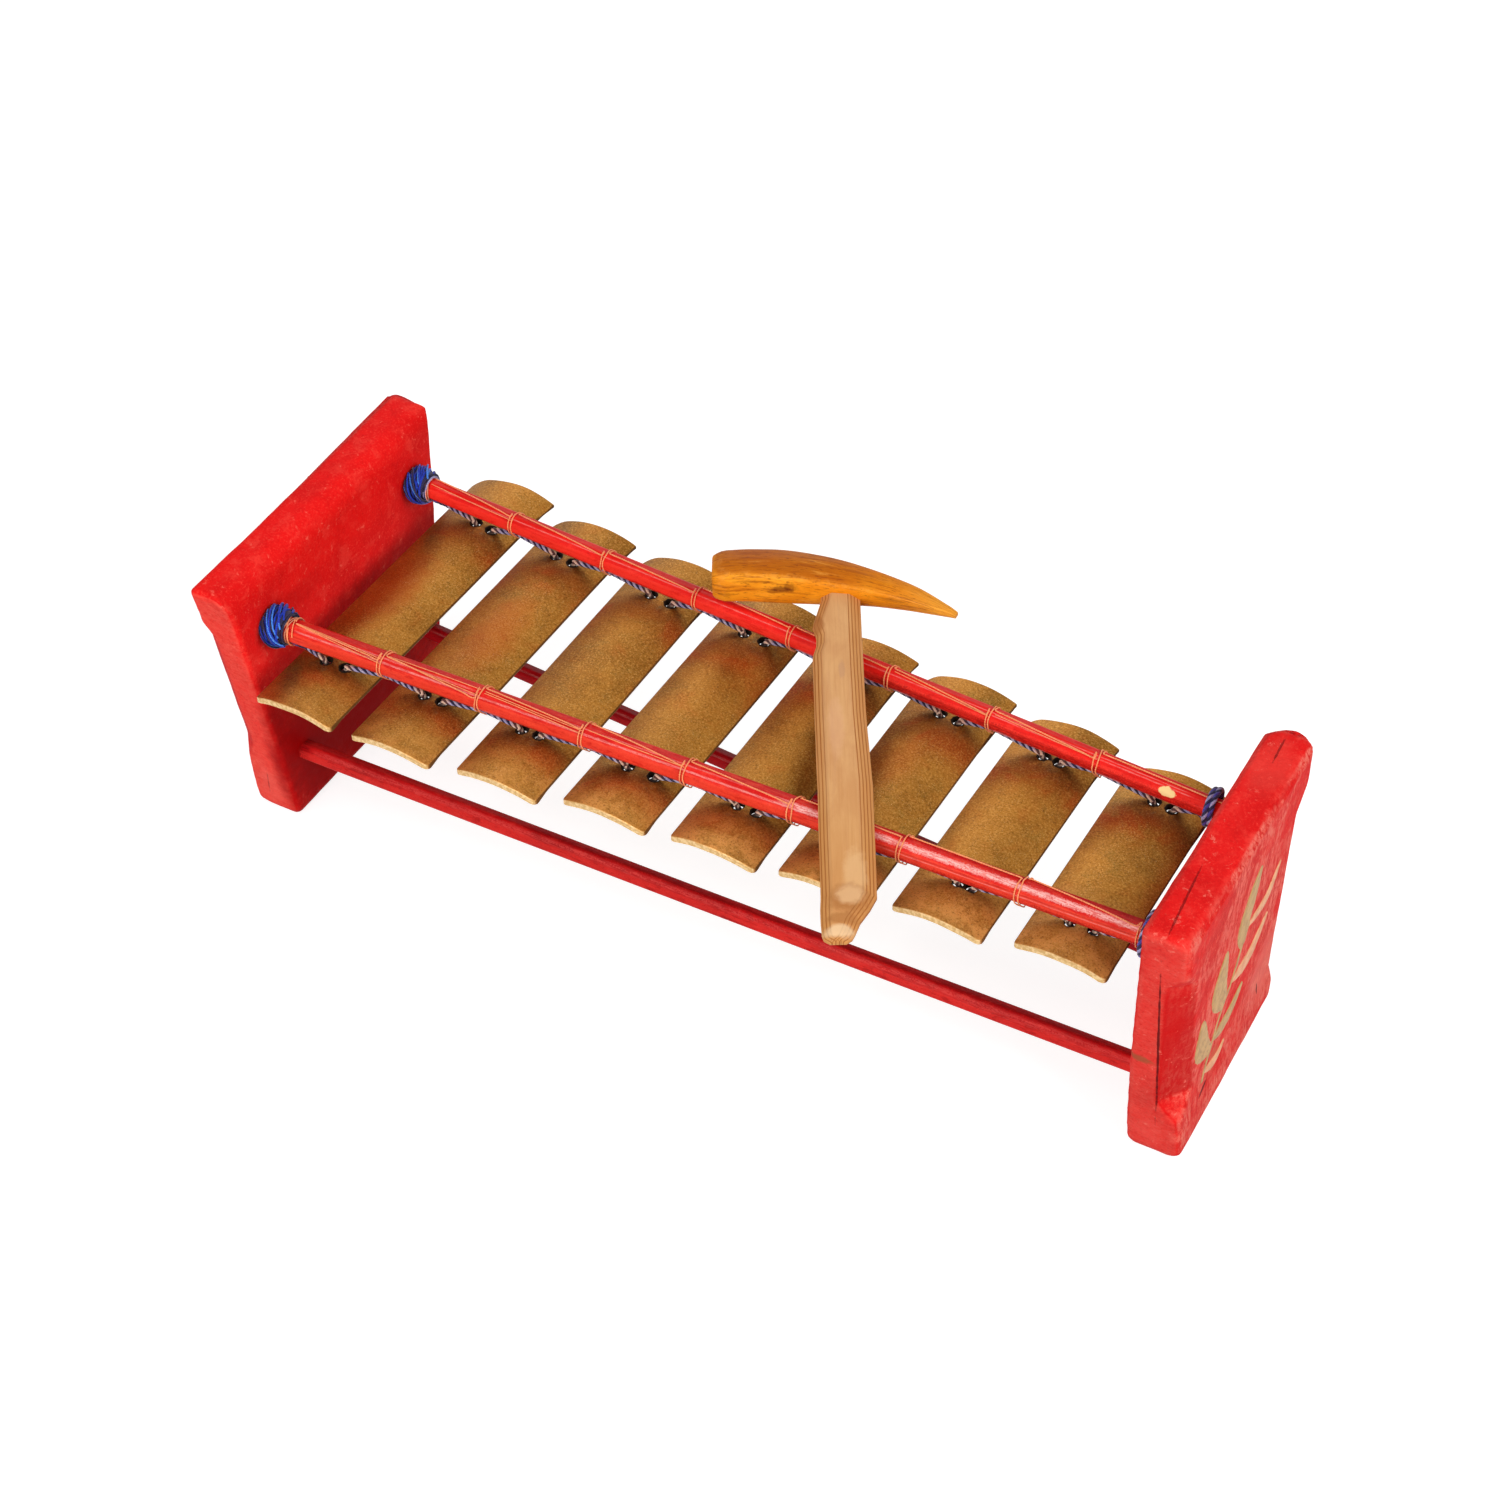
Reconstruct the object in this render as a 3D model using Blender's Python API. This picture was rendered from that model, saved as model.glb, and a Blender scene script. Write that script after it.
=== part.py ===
"""A small metallophone: eight arched bronze bars slung on cords from two rods between wooden end boards.

Values are in metres. +Z is up, +X runs along the row towards the short bars, and the player sits at -Y.
The origin is on the ground, under the middle of the whole instrument's box, mallet included.
"""

import math

import bmesh
import bpy
from mathutils import Matrix, Vector

# Frame
FRAME_LENGTH = 0.420
BOARD_THICKNESS = 0.018
BOARD_HEIGHT = 0.134
BOARD_EDGE = 0.0012
BOARD_BACK_ROUND = 0.0028
BOARD_FOOT_ROUND = 0.0030
FOOT_SWELL_HEIGHTS = (0.010, 0.030)
NECK_HEIGHT = 0.014
CHAMFER_RUNOUT = 0.004
CHAMFER_FOOT_RUNOUT = 0.009
CHAMFER_MINIMUM = 0.0015

# Each board's reach from the middle line: at the foot, at the neck under the flare, and at the top.
# A chamfer is its width, then its depth low down and high up, and the height above the ground where it ends.
# The swell is how far the outer face bulges past the frame's length: at the foot, and above it.
# The lip is the height where the chamfers end under the flare, and the back face slants and bulges.
BOARDS = {
    "left_end_board": {
        "side": -1,
        "front": (0.0531, 0.0688, 0.0716),
        "back": (0.0580, 0.0706, 0.0710),
        "front_chamfer": (0.0060, 0.0045, 0.0040, 0.043),
        "back_chamfer": (0.0060, 0.0045, 0.0040, 0.043),
        "front_swell": (0.0020, 0.0002),
        "back_swell": (0.0034, 0.0034),
        "lip": 0.1155,
        "back_slant": 0.0036,
        "back_bulge": 0.0004,
        "top_round": 0.0012,
    },
    "right_end_board": {
        "side": 1,
        "front": (0.0432, 0.0556, 0.0570),
        "back": (0.0500, 0.0585, 0.0590),
        "front_chamfer": (0.0084, 0.0130, 0.0080, 0.034),
        "back_chamfer": (0.0056, 0.0080, 0.0098, 0.024),
        "front_swell": (0.0026, 0.0008),
        "back_swell": (0.0018, 0.0018),
        "lip": 0.1112,
        "back_slant": 0.0,
        "back_bulge": 0.0020,
        "top_round": 0.0020,
    },
}

# Rods, by the height of their top and by how far their axes lie in from the boards' edges
UPPER_ROD_TOP = 0.1134
LOWER_ROD_TOP = 0.0347
ROD_SEAT_DEPTH = 0.010
ROD_SIDES = 24
RODS = {
    "front_upper_rod": {"edge": "front", "top": UPPER_ROD_TOP, "radius": 0.0051, "insets": (0.0178, 0.0185)},
    "back_upper_rod": {"edge": "back", "top": UPPER_ROD_TOP, "radius": 0.0045, "insets": (0.0169, 0.0250)},
    "front_lower_rod": {"edge": "front", "top": LOWER_ROD_TOP, "radius": 0.0042, "insets": (0.0142, 0.0150)},
    "back_lower_rod": {"edge": "back", "top": LOWER_ROD_TOP, "radius": 0.0041, "insets": (0.0152, 0.0280)},
}

# Bars: each one's length, and how far it lies to the right and to the back of its place in the row, and its turn
BARS = (
    (0.1594, -0.0007, 0.0006, -0.75),
    (0.1518, -0.0008, -0.0027, -0.5),
    (0.1460, 0.0002, -0.0019, -0.1),
    (0.1381, 0.0005, -0.0002, -0.8),
    (0.1308, 0.0004, -0.0007, -0.3),
    (0.1242, -0.0006, -0.0001, -0.5),
    (0.1159, -0.0006, 0.0002, -0.8),
    (0.1057, 0.0006, -0.0001, -0.4),
)
ROW_LEFT_GAP = 0.01515
ROW_RIGHT_GAP = 0.01275
BAR_GAP = 0.0093
BAR_THICKNESS = 0.0026
BAR_ARCH = 0.004
BAR_END_BULGE = 0.001
BAR_CORNER = 0.0025
BAR_CORNER_ANGLES = (40, 75, 90)
BAR_DROP = 0.0031
BAR_STRIPS = 10
BAR_HOLE_DIAMETER = 0.0042
BAR_HOLE_SPACING = 0.0078
BAR_HOLES_RIGHT = 0.0024
BAR_HOLES_FORWARD = {
    "front_upper_rod": (0.0022, 0.0000),
    "back_upper_rod": (0.0016, 0.0006),
}

# Suspension cords
CORD_DIAMETER = 0.0022
CORD_TURN_PITCH = 0.0027
CORD_TURNS = 2
CORD_POINTS_PER_TURN = 14
RIM_STEPS = 2

# Lashing threads
THREAD_DIAMETER = 0.0008
THREAD_GAP = 0.00035
THREAD_PITCH = 0.0015
THREAD_RING_TURNS = 2
THREAD_END_TURNS = 3
THREAD_COLLAR_TURNS = 4
THREAD_ARC_STEPS = 4
THREAD_COLLAR_GAP = 0.0006
RINGS_LEFT = {
    "front_upper_rod": (0.0001, 0.0001, 0.0010, 0.0018, 0.0018, 0.0032, 0.0006),
    "back_upper_rod": (0.0023, 0.0028, 0.0028, 0.0028, 0.0035, 0.0039, 0.0039),
}

# Mallet, in its own frame: along the handle from where it crosses the front rod, and across to the right
MALLET_REST_X = 0.0669
MALLET_YAW = math.radians(29.83)
HANDLE_WIDTH = 0.0201
HANDLE_THICKNESS = 0.005
HANDLE_SHOULDER = 0.0042
HANDLE_SHOULDER_HEIGHT = 0.0018
HANDLE_BACK_REACH = 0.0643
HEAD_DISTANCE = 0.1204
HEAD_LEFT_LENGTH = 0.0480
HEAD_RIGHT_LENGTH = 0.0483
HEAD_RADIUS = 0.0097
HEAD_RISE = 0.0028
HEAD_SIDES = 16
TENON_DEPTH = 0.0132
TENON_LEFT = 0.0060
TENON_RIGHT = 0.0085

# The frame's place from the origin: back, as the mallet's handle reaches out in front, and right, for the swells
FRAME_SET_BACK = 0.00960
FRAME_SET_RIGHT = 0.0004

# Room between touching pieces
CLEARANCE = 0.0003
LEAST_TUBE_GAP = 0.0004

INNER_FACE = FRAME_LENGTH / 2 - BOARD_THICKNESS
ROW_LENGTH = 2 * INNER_FACE - ROW_LEFT_GAP - ROW_RIGHT_GAP
BAR_PITCH = (ROW_LENGTH + BAR_GAP) / len(BARS)
BAR_WIDTH = BAR_PITCH - BAR_GAP
NECK_Z = BOARD_HEIGHT - NECK_HEIGHT


def clear_scene():
    for old in list(bpy.data.objects):
        bpy.data.objects.remove(old, do_unlink=True)


def material(name, colour, roughness, metallic=0.0):
    made = bpy.data.materials.new(name)
    made.use_nodes = True
    shader = made.node_tree.nodes["Principled BSDF"]
    shader.inputs["Base Color"].default_value = (*colour, 1.0)
    shader.inputs["Roughness"].default_value = roughness
    shader.inputs["Metallic"].default_value = metallic
    return made


def mesh_object(name, mesh_in_progress, finish, smooth_angle=None):
    bmesh.ops.recalc_face_normals(mesh_in_progress, faces=mesh_in_progress.faces)
    mesh = bpy.data.meshes.new(name)
    mesh_in_progress.to_mesh(mesh)
    mesh_in_progress.free()
    if smooth_angle is not None:
        mesh.shade_smooth()
        mesh.set_sharp_from_angle(angle=smooth_angle)
    made = bpy.data.objects.new(name, mesh)
    bpy.context.scene.collection.objects.link(made)
    if finish is not None:
        mesh.materials.append(finish)
    return made


def loft(sections):
    """A closed skin over rings of points, each ring with as many points as the next."""
    skin = bmesh.new()
    rings = [[skin.verts.new(point) for point in section] for section in sections]
    count = len(rings[0])
    for lower, upper in zip(rings, rings[1:]):
        for index in range(count):
            following = (index + 1) % count
            skin.faces.new((lower[index], lower[following], upper[following], upper[index]))
    skin.faces.new(rings[0])
    skin.faces.new(list(reversed(rings[-1])))
    return skin


def cut(target, cutter_mesh, name):
    cutter = mesh_object(name, cutter_mesh, None)
    cutter.hide_render = True
    cutter.display_type = "WIRE"
    boolean = target.modifiers.new(name, "BOOLEAN")
    boolean.operation = "DIFFERENCE"
    boolean.solver = "EXACT"
    boolean.object = cutter


def add_cylinder(target, start, end, radius, sides):
    axis = end - start
    turn = axis.to_track_quat("Z", "Y").to_matrix().to_4x4()
    bmesh.ops.create_cone(
        target,
        cap_ends=True,
        segments=sides,
        radius1=radius,
        radius2=radius,
        depth=axis.length,
        matrix=Matrix.Translation((start + end) / 2) @ turn,
    )


def tube_object(name, points, diameter, finish, resolution):
    curve = bpy.data.curves.new(name, "CURVE")
    curve.dimensions = "3D"
    curve.bevel_depth = diameter / 2
    curve.bevel_resolution = resolution
    curve.use_fill_caps = True
    spline = curve.splines.new("POLY")
    spline.points.add(len(points) - 1)
    for slot, point in zip(spline.points, points):
        slot.co = (*point, 1.0)
    curve.materials.append(finish)
    made = bpy.data.objects.new(name, curve)
    bpy.context.scene.collection.objects.link(made)
    return made


def blend_at(value, low, high, low_result, high_result):
    share = min(max((value - low) / (high - low), 0.0), 1.0)
    return low_result + (high_result - low_result) * share


# End boards
def board_reach(board, edge, height):
    foot, neck, top = BOARDS[board][edge]
    if height <= NECK_Z:
        return blend_at(height, 0.0, NECK_Z, foot, neck)
    return blend_at(height, NECK_Z, BOARD_HEIGHT, neck, top)


def chamfer_at(board, edge, height):
    """Width along X and depth along Y of the stopped chamfer on an outer corner, at a height."""
    width, low_depth, high_depth, low = BOARDS[board][edge + "_chamfer"]
    lip = BOARDS[board]["lip"]
    high = lip - CHAMFER_RUNOUT
    depth = blend_at(height, low, high, low_depth, high_depth)
    fade = min(
        blend_at(height, low - CHAMFER_FOOT_RUNOUT, low, 0.0, 1.0),
        blend_at(height, high, lip, 1.0, 0.0),
    )
    return max(width * fade, CHAMFER_MINIMUM), max(depth * fade, CHAMFER_MINIMUM)


def outer_face(board, edge, height):
    foot, above = BOARDS[board][edge + "_swell"]
    return FRAME_LENGTH / 2 + blend_at(height, *FOOT_SWELL_HEIGHTS, foot, above)


def board_section(board, height, shrink, foot_round):
    side = BOARDS[board]["side"]
    slant = BOARDS[board]["back_slant"]
    inner = INNER_FACE + shrink
    front_outer = outer_face(board, "front", height) - foot_round
    back_outer = outer_face(board, "back", height) - foot_round
    front = -board_reach(board, "front", height) + shrink
    back = board_reach(board, "back", height) - shrink
    front_width, front_depth = chamfer_at(board, "front", height)
    back_width, back_depth = chamfer_at(board, "back", height)
    outline = (
        (inner, front + BOARD_EDGE),
        (inner + BOARD_EDGE, front),
        (front_outer - front_width, front),
        (front_outer, front + front_depth),
        (back_outer, back + slant - back_depth),
        (back_outer - back_width, back + slant),
        ((inner + back_outer - back_width) / 2, back + slant / 2 + BOARDS[board]["back_bulge"]),
        (inner + BOARD_BACK_ROUND, back),
        (inner, back - BOARD_BACK_ROUND),
    )
    return [Vector((side * x, y, height)) for x, y in outline]


def end_board(board, finish):
    top_round = BOARDS[board]["top_round"]
    heights = {BOARD_FOOT_ROUND, *FOOT_SWELL_HEIGHTS, NECK_Z, BOARD_HEIGHT - top_round}
    heights |= {BOARDS[board]["lip"] - CHAMFER_RUNOUT, BOARDS[board]["lip"]}
    for edge in ("front", "back"):
        low = BOARDS[board][edge + "_chamfer"][3]
        heights |= {low - CHAMFER_FOOT_RUNOUT, low}
    sections = [board_section(board, 0.0, BOARD_EDGE, BOARD_FOOT_ROUND)]
    sections += [board_section(board, height, 0.0, 0.0) for height in sorted(heights)]
    sections.append(board_section(board, BOARD_HEIGHT, top_round, top_round))
    made = mesh_object(board, loft(sections), finish)
    seats = bmesh.new()
    side = BOARDS[board]["side"]
    mouth = side * (INNER_FACE - BOARD_THICKNESS)
    floor = side * (INNER_FACE + ROD_SEAT_DEPTH + CLEARANCE)
    for rod in RODS:
        start, end = [rod_point(rod, x) for x in sorted((mouth, floor))]
        add_cylinder(seats, start, end, RODS[rod]["radius"] + CLEARANCE, ROD_SIDES)
    cut(made, seats, board + "_seats")
    return made


# Rods
def rod_height(rod):
    return RODS[rod]["top"] - RODS[rod]["radius"]


def rod_y(rod, x):
    """Y of a rod's axis at a place along the row."""
    spec = RODS[rod]
    sign = -1 if spec["edge"] == "front" else 1
    left = board_reach("left_end_board", spec["edge"], rod_height(rod)) - spec["insets"][0]
    right = board_reach("right_end_board", spec["edge"], rod_height(rod)) - spec["insets"][1]
    share = (x + INNER_FACE) / (2 * INNER_FACE)
    return sign * (left + (right - left) * share)


def rod_point(rod, x):
    return Vector((x, rod_y(rod, x), rod_height(rod)))


def rod_object(rod, finish):
    body = bmesh.new()
    reach = INNER_FACE + ROD_SEAT_DEPTH
    start, end = rod_point(rod, -reach), rod_point(rod, reach)
    add_cylinder(body, start, end, RODS[rod]["radius"], ROD_SIDES)
    return mesh_object(rod, body, finish, math.radians(40))


# Bars
def bar_crown():
    front = RODS["front_upper_rod"]
    return front["top"] - 2 * front["radius"] - BAR_DROP


def bar_top(x):
    """Height of a bar's upper surface, across its width."""
    return bar_crown() - BAR_ARCH * (2 * x / BAR_WIDTH) ** 2


def row_x(index):
    return ROW_LEFT_GAP - INNER_FACE + BAR_WIDTH / 2 + index * BAR_PITCH


def bar_matrix(index):
    _, right, back, turn = BARS[index]
    return Matrix.Translation((row_x(index) + right, back, 0)) @ Matrix.Rotation(math.radians(turn), 4, "Z")


def bar_hole(index, rod, side):
    """A hole's place in its bar, in front of the rod that it hangs from."""
    x = row_x(index) + BAR_HOLES_RIGHT + side * BAR_HOLE_SPACING / 2
    forward = blend_at(x, -INNER_FACE, INNER_FACE, *BAR_HOLES_FORWARD[rod])
    place = Vector((x, rod_y(rod, x) - forward, 0))
    return bar_matrix(index).inverted() @ place


def bar_columns():
    """Places across the bar, closer together in the rounded corners."""
    half = BAR_WIDTH / 2
    flat = half - BAR_CORNER
    corner = [flat + BAR_CORNER * math.sin(math.radians(angle)) for angle in BAR_CORNER_ANGLES]
    middle = [flat * (2 * step / BAR_STRIPS - 1) for step in range(BAR_STRIPS + 1)]
    return [-x for x in reversed(corner)] + middle + corner


def bar_end(x, length):
    half = BAR_WIDTH / 2
    past = max(abs(x) - (half - BAR_CORNER), 0.0)
    rounding = BAR_CORNER - math.sqrt(max(BAR_CORNER**2 - past**2, 0.0))
    return length / 2 - BAR_END_BULGE * (x / half) ** 2 - rounding


def bar_object(index, finish):
    length = BARS[index][0]
    sections = []
    for x in bar_columns():
        reach = bar_end(x, length)
        top = bar_top(x)
        low = top - BAR_THICKNESS
        sections.append([Vector((x, y, z)) for y, z in ((-reach, low), (reach, low), (reach, top), (-reach, top))])
    made = mesh_object(f"bar_{index + 1}", loft(sections), finish, math.radians(30))
    made.matrix_world = bar_matrix(index)
    drills = bmesh.new()
    for rod in ("front_upper_rod", "back_upper_rod"):
        for side in (-1, 1):
            place = bar_matrix(index) @ bar_hole(index, rod, side)
            low = Vector((place.x, place.y, bar_crown() - 3 * BAR_THICKNESS))
            high = Vector((place.x, place.y, bar_crown() + BAR_THICKNESS))
            add_cylinder(drills, low, high, BAR_HOLE_DIAMETER / 2, 16)
    cut(made, drills, f"bar_{index + 1}_holes")
    return made


# Suspension cords
def around_rod(rod, x, angle, radius):
    """A point beside a rod's axis, by its angle from straight up towards the player."""
    return Vector((x, rod_y(rod, x) - radius * math.sin(angle), rod_height(rod) + radius * math.cos(angle)))


def cord_radius(rod):
    """Distance from a rod's axis to a cord wound on it, with its flats clear of the rod."""
    return (RODS[rod]["radius"] + CLEARANCE + CORD_DIAMETER / 2) / math.cos(math.pi / CORD_POINTS_PER_TURN)


def winding(rod, side):
    """Along the row, from the free end at the left board, or to the free end at the right one."""
    board_x = INNER_FACE - CLEARANCE - CORD_DIAMETER / 2
    points = []
    for step in range(CORD_TURNS * CORD_POINTS_PER_TURN + 1):
        turns = step / CORD_POINTS_PER_TURN
        x = side * (board_x - turns * CORD_TURN_PITCH)
        points.append(around_rod(rod, x, math.pi - side * 2 * math.pi * turns, cord_radius(rod)))
    tail = (points[0] - points[1]).normalized() * CORD_DIAMETER
    points.insert(0, points[0] + tail)
    return points if side < 0 else points[::-1]


def round_rim(rim, start_angle, end_angle):
    """The cord's centre as it bends over a rim, in the plane across the bar."""
    half_step = math.radians(abs(end_angle - start_angle)) / RIM_STEPS / 2
    radius = (CORD_DIAMETER / 2 + CLEARANCE) / math.cos(half_step)
    points = []
    for step in range(RIM_STEPS + 1):
        angle = math.radians(start_angle + (end_angle - start_angle) * step / RIM_STEPS)
        points.append((rim[0] + radius * math.cos(angle), rim[1] + radius * math.sin(angle)))
    return points


def through_bar(index, rod):
    """Down the left hole, under the bar and up the right hole."""
    points = []
    for side in (-1, 1):
        hole = bar_hole(index, rod, side)
        outer = hole.x + side * BAR_HOLE_DIAMETER / 2
        inner = hole.x - side * BAR_HOLE_DIAMETER / 2
        beside = 90 - 90 * side
        bends = round_rim((outer, bar_top(outer)), 90, 90 + 90 * side)
        bends += round_rim((inner, bar_top(inner) - BAR_THICKNESS), beside, beside - 90 * side)
        if side > 0:
            bends.reverse()
        for x, z in bends:
            world = bar_matrix(index) @ Vector((x, hole.y, 0))
            points.append(Vector((world.x, world.y, z)))
    return points


def under_rod(rod, x):
    return around_rod(rod, x, math.pi, RODS[rod]["radius"] + CLEARANCE + CORD_DIAMETER / 2)


def suspension_route(rod):
    points = winding(rod, -1)
    collar = THREAD_COLLAR_GAP + THREAD_COLLAR_TURNS * THREAD_PITCH
    points.append(under_rod(rod, points[-1].x + collar + CORD_DIAMETER))
    for index in range(len(BARS)):
        points += through_bar(index, rod)
        if index < len(BARS) - 1:
            x = ring_x(index, rod)
            half_ring = THREAD_RING_TURNS * THREAD_PITCH / 2
            points += [under_rod(rod, x - half_ring), under_rod(rod, x + half_ring)]
    end = winding(rod, 1)
    points.append(under_rod(rod, end[0].x - CORD_DIAMETER - THREAD_END_TURNS * THREAD_PITCH))
    return points + end


def suspension_cord(name, rod, finish):
    points = suspension_route(rod)
    report_gap(name, points, CORD_DIAMETER)
    return tube_object(name, points, CORD_DIAMETER, finish, 1)


# Lashing threads
def ring_x(index, rod):
    """Where a rod's thread is tied round it, near the gap after a bar."""
    return row_x(index) + BAR_PITCH / 2 - RINGS_LEFT[rod][index]


def thread_turn(rod):
    """Angle, centre and radius of each point of one turn, which holds the cord up against the rod."""
    room = THREAD_GAP + THREAD_DIAMETER / 2
    drop = RODS[rod]["radius"] + CLEARANCE + CORD_DIAMETER / 2
    rod_radius = RODS[rod]["radius"] + room
    low_radius = CORD_DIAMETER / 2 + room
    leave = math.pi / 2 + math.asin((rod_radius - low_radius) / drop)
    wide = rod_radius / math.cos(leave / THREAD_ARC_STEPS / 2)
    low_step = math.pi - leave
    narrow = low_radius / math.cos(low_step / 2)
    points = [(leave * step / THREAD_ARC_STEPS, 0.0, wide) for step in range(THREAD_ARC_STEPS + 1)]
    points += [(leave + low_step * step, drop, narrow) for step in range(3)]
    back = 2 * math.pi - leave
    points += [(back + leave * step / THREAD_ARC_STEPS, 0.0, wide) for step in range(THREAD_ARC_STEPS)]
    return points


def thread_ring(rod, start_x, turns):
    points = []
    for turn in range(turns):
        for angle, drop, radius in thread_turn(rod):
            x = start_x + (turn + angle / (2 * math.pi)) * THREAD_PITCH
            points.append(around_rod(rod, x, angle, radius) - Vector((0, 0, drop)))
    top = thread_turn(rod)[0][2]
    points.append(around_rod(rod, start_x + turns * THREAD_PITCH, 0.0, top))
    return points


def lashing_route(rod):
    start = winding(rod, -1)[-1].x + CORD_DIAMETER / 2 + THREAD_COLLAR_GAP
    points = thread_ring(rod, start, THREAD_COLLAR_TURNS)
    for index in range(len(BARS) - 1):
        middle = ring_x(index, rod)
        points += thread_ring(rod, middle - THREAD_RING_TURNS * THREAD_PITCH / 2, THREAD_RING_TURNS)
    end = winding(rod, 1)[0].x - CORD_DIAMETER / 2 - CLEARANCE - THREAD_DIAMETER
    points += thread_ring(rod, end - THREAD_END_TURNS * THREAD_PITCH, THREAD_END_TURNS)
    return points


def lashing_thread(name, rod, finish):
    points = lashing_route(rod)
    report_gap(name, points, THREAD_DIAMETER)
    return tube_object(name, points, THREAD_DIAMETER, finish, 0)


def report_gap(name, points, diameter):
    """Prints the least gap between stretches of a tube that lie more than three diameters apart along it."""
    fine = []
    for start, end in zip(points, points[1:]):
        parts = max(int((end - start).length / (diameter / 2)), 1)
        fine += [start.lerp(end, part / parts) for part in range(parts)]
    along = [0.0]
    for start, end in zip(fine, fine[1:]):
        along.append(along[-1] + (end - start).length)
    least = math.inf
    for index, point in enumerate(fine):
        for other in range(index + 1, len(fine)):
            if along[other] - along[index] > 3 * diameter and abs(fine[other].x - point.x) < 4 * diameter:
                least = min(least, (fine[other] - point).length)
    length = along[-1] + (fine[-1] - points[-1]).length
    gap = (least - diameter) * 1000
    state = "clear" if gap > LEAST_TUBE_GAP * 1000 else "TOO CLOSE"
    print(f"{name}: length {length:.3f} m, least gap to itself {gap:.2f} mm, {state}")


# Mallet
def thread_top(rod):
    """Height of what lies on the thread that runs along the top of a rod."""
    radius = thread_turn(rod)[0][2]
    return rod_height(rod) + radius + THREAD_DIAMETER / 2 + CLEARANCE


def mallet_rest():
    front = "front_upper_rod"
    return Vector((MALLET_REST_X, rod_y(front, MALLET_REST_X), thread_top(front)))


def mallet_matrix():
    """The handle lies on the front rod's thread and the head's blunt end on the back rod's."""
    rest = mallet_rest()
    head_height = thread_top("back_upper_rod") + HEAD_RADIUS
    tilt = math.asin((head_height - rest.z - HEAD_RISE) / HEAD_DISTANCE)
    return Matrix.Translation(rest) @ Matrix.Rotation(MALLET_YAW, 4, "Z") @ Matrix.Rotation(tilt, 4, "X")


def handle_section(along, left, right, height):
    shoulder = min(HANDLE_SHOULDER, (right - left) * 0.3)
    step = min(HANDLE_SHOULDER_HEIGHT, height * 0.4)
    outline = (
        (left, 0.0),
        (right, 0.0),
        (right, step),
        (right - shoulder, height),
        (left + shoulder, height),
        (left, step),
    )
    return [Vector((across, along, up)) for across, up in outline]


def mallet_handle(finish):
    half = HANDLE_WIDTH / 2
    face = HEAD_DISTANCE - HEAD_RADIUS
    full = HANDLE_THICKNESS
    tip = -HANDLE_BACK_REACH
    stations = (
        (face + TENON_DEPTH, -TENON_LEFT, TENON_RIGHT, full),
        (face, -TENON_LEFT, TENON_RIGHT, full),
        (face - 0.0115, -half, half * 0.93, full),
        (face - 0.0145, -0.0090, half * 0.95, full),
        (face - 0.0200, -0.0073, half * 0.97, full),
        (face - 0.0250, -0.0080, half, full),
        (face - 0.0305, -half, half, full),
        (tip + 0.0215, -half, half, full),
        (tip + 0.0135, -half, 0.0065, full),
        (tip + 0.0050, -half, 0.0025, full * 0.75),
        (tip, -0.0070, -0.0030, full * 0.5),
    )
    made = mesh_object("mallet_handle", loft([handle_section(*row) for row in stations]), finish)
    made.matrix_world = mallet_matrix()
    return made


def head_stations():
    """Across, along and radius down the head, from its blunt end to the tip of its horn."""
    left = HEAD_LEFT_LENGTH
    right = HEAD_RIGHT_LENGTH
    full = HEAD_RADIUS
    return (
        (-left - 0.0010, 0.0047, full * 0.62),
        (-left, 0.0047, full * 0.86),
        (-left + 0.0035, 0.0048, full * 0.93),
        (-left * 0.67, 0.0048, full * 0.99),
        (-left * 0.35, 0.0033, full),
        (0.0, 0.0, full * 0.88),
        (right * 0.28, -0.0042, full * 0.70),
        (right * 0.60, -0.0104, full * 0.50),
        (right * 0.88, -0.0178, full * 0.20),
        (right, -0.0213, full * 0.08),
    )


def mallet_head(finish):
    rows = head_stations()
    centres = [Vector((across, HEAD_DISTANCE + along, HEAD_RISE)) for across, along, _ in rows]
    sections = []
    for index, (_, _, radius) in enumerate(rows):
        ahead = centres[min(index + 1, len(rows) - 1)]
        behind = centres[max(index - 1, 0)]
        tangent = (ahead - behind).normalized()
        sideways = tangent.cross(Vector((0, 0, 1))).normalized()
        ring = []
        for corner in range(HEAD_SIDES):
            angle = 2 * math.pi * corner / HEAD_SIDES
            offset = sideways * math.cos(angle) + Vector((0, 0, 1)) * math.sin(angle)
            ring.append(centres[index] + offset * radius)
        sections.append(ring)
    made = mesh_object("mallet_head", loft(sections), finish, math.radians(50))
    made.matrix_world = mallet_matrix()
    mortise_end = HEAD_DISTANCE - HEAD_RADIUS + TENON_DEPTH + CLEARANCE
    mortise_start = HEAD_DISTANCE - 2 * HEAD_RADIUS
    mortise = [
        [
            Vector((across, along, up))
            for across, up in (
                (-TENON_LEFT - CLEARANCE, -CLEARANCE),
                (TENON_RIGHT + CLEARANCE, -CLEARANCE),
                (TENON_RIGHT + CLEARANCE, HANDLE_THICKNESS + CLEARANCE),
                (-TENON_LEFT - CLEARANCE, HANDLE_THICKNESS + CLEARANCE),
            )
        ]
        for along in (mortise_start, mortise_end)
    ]
    block = loft(mortise)
    block.transform(mallet_matrix())
    cut(made, block, "mallet_head_mortise")
    return made


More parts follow.
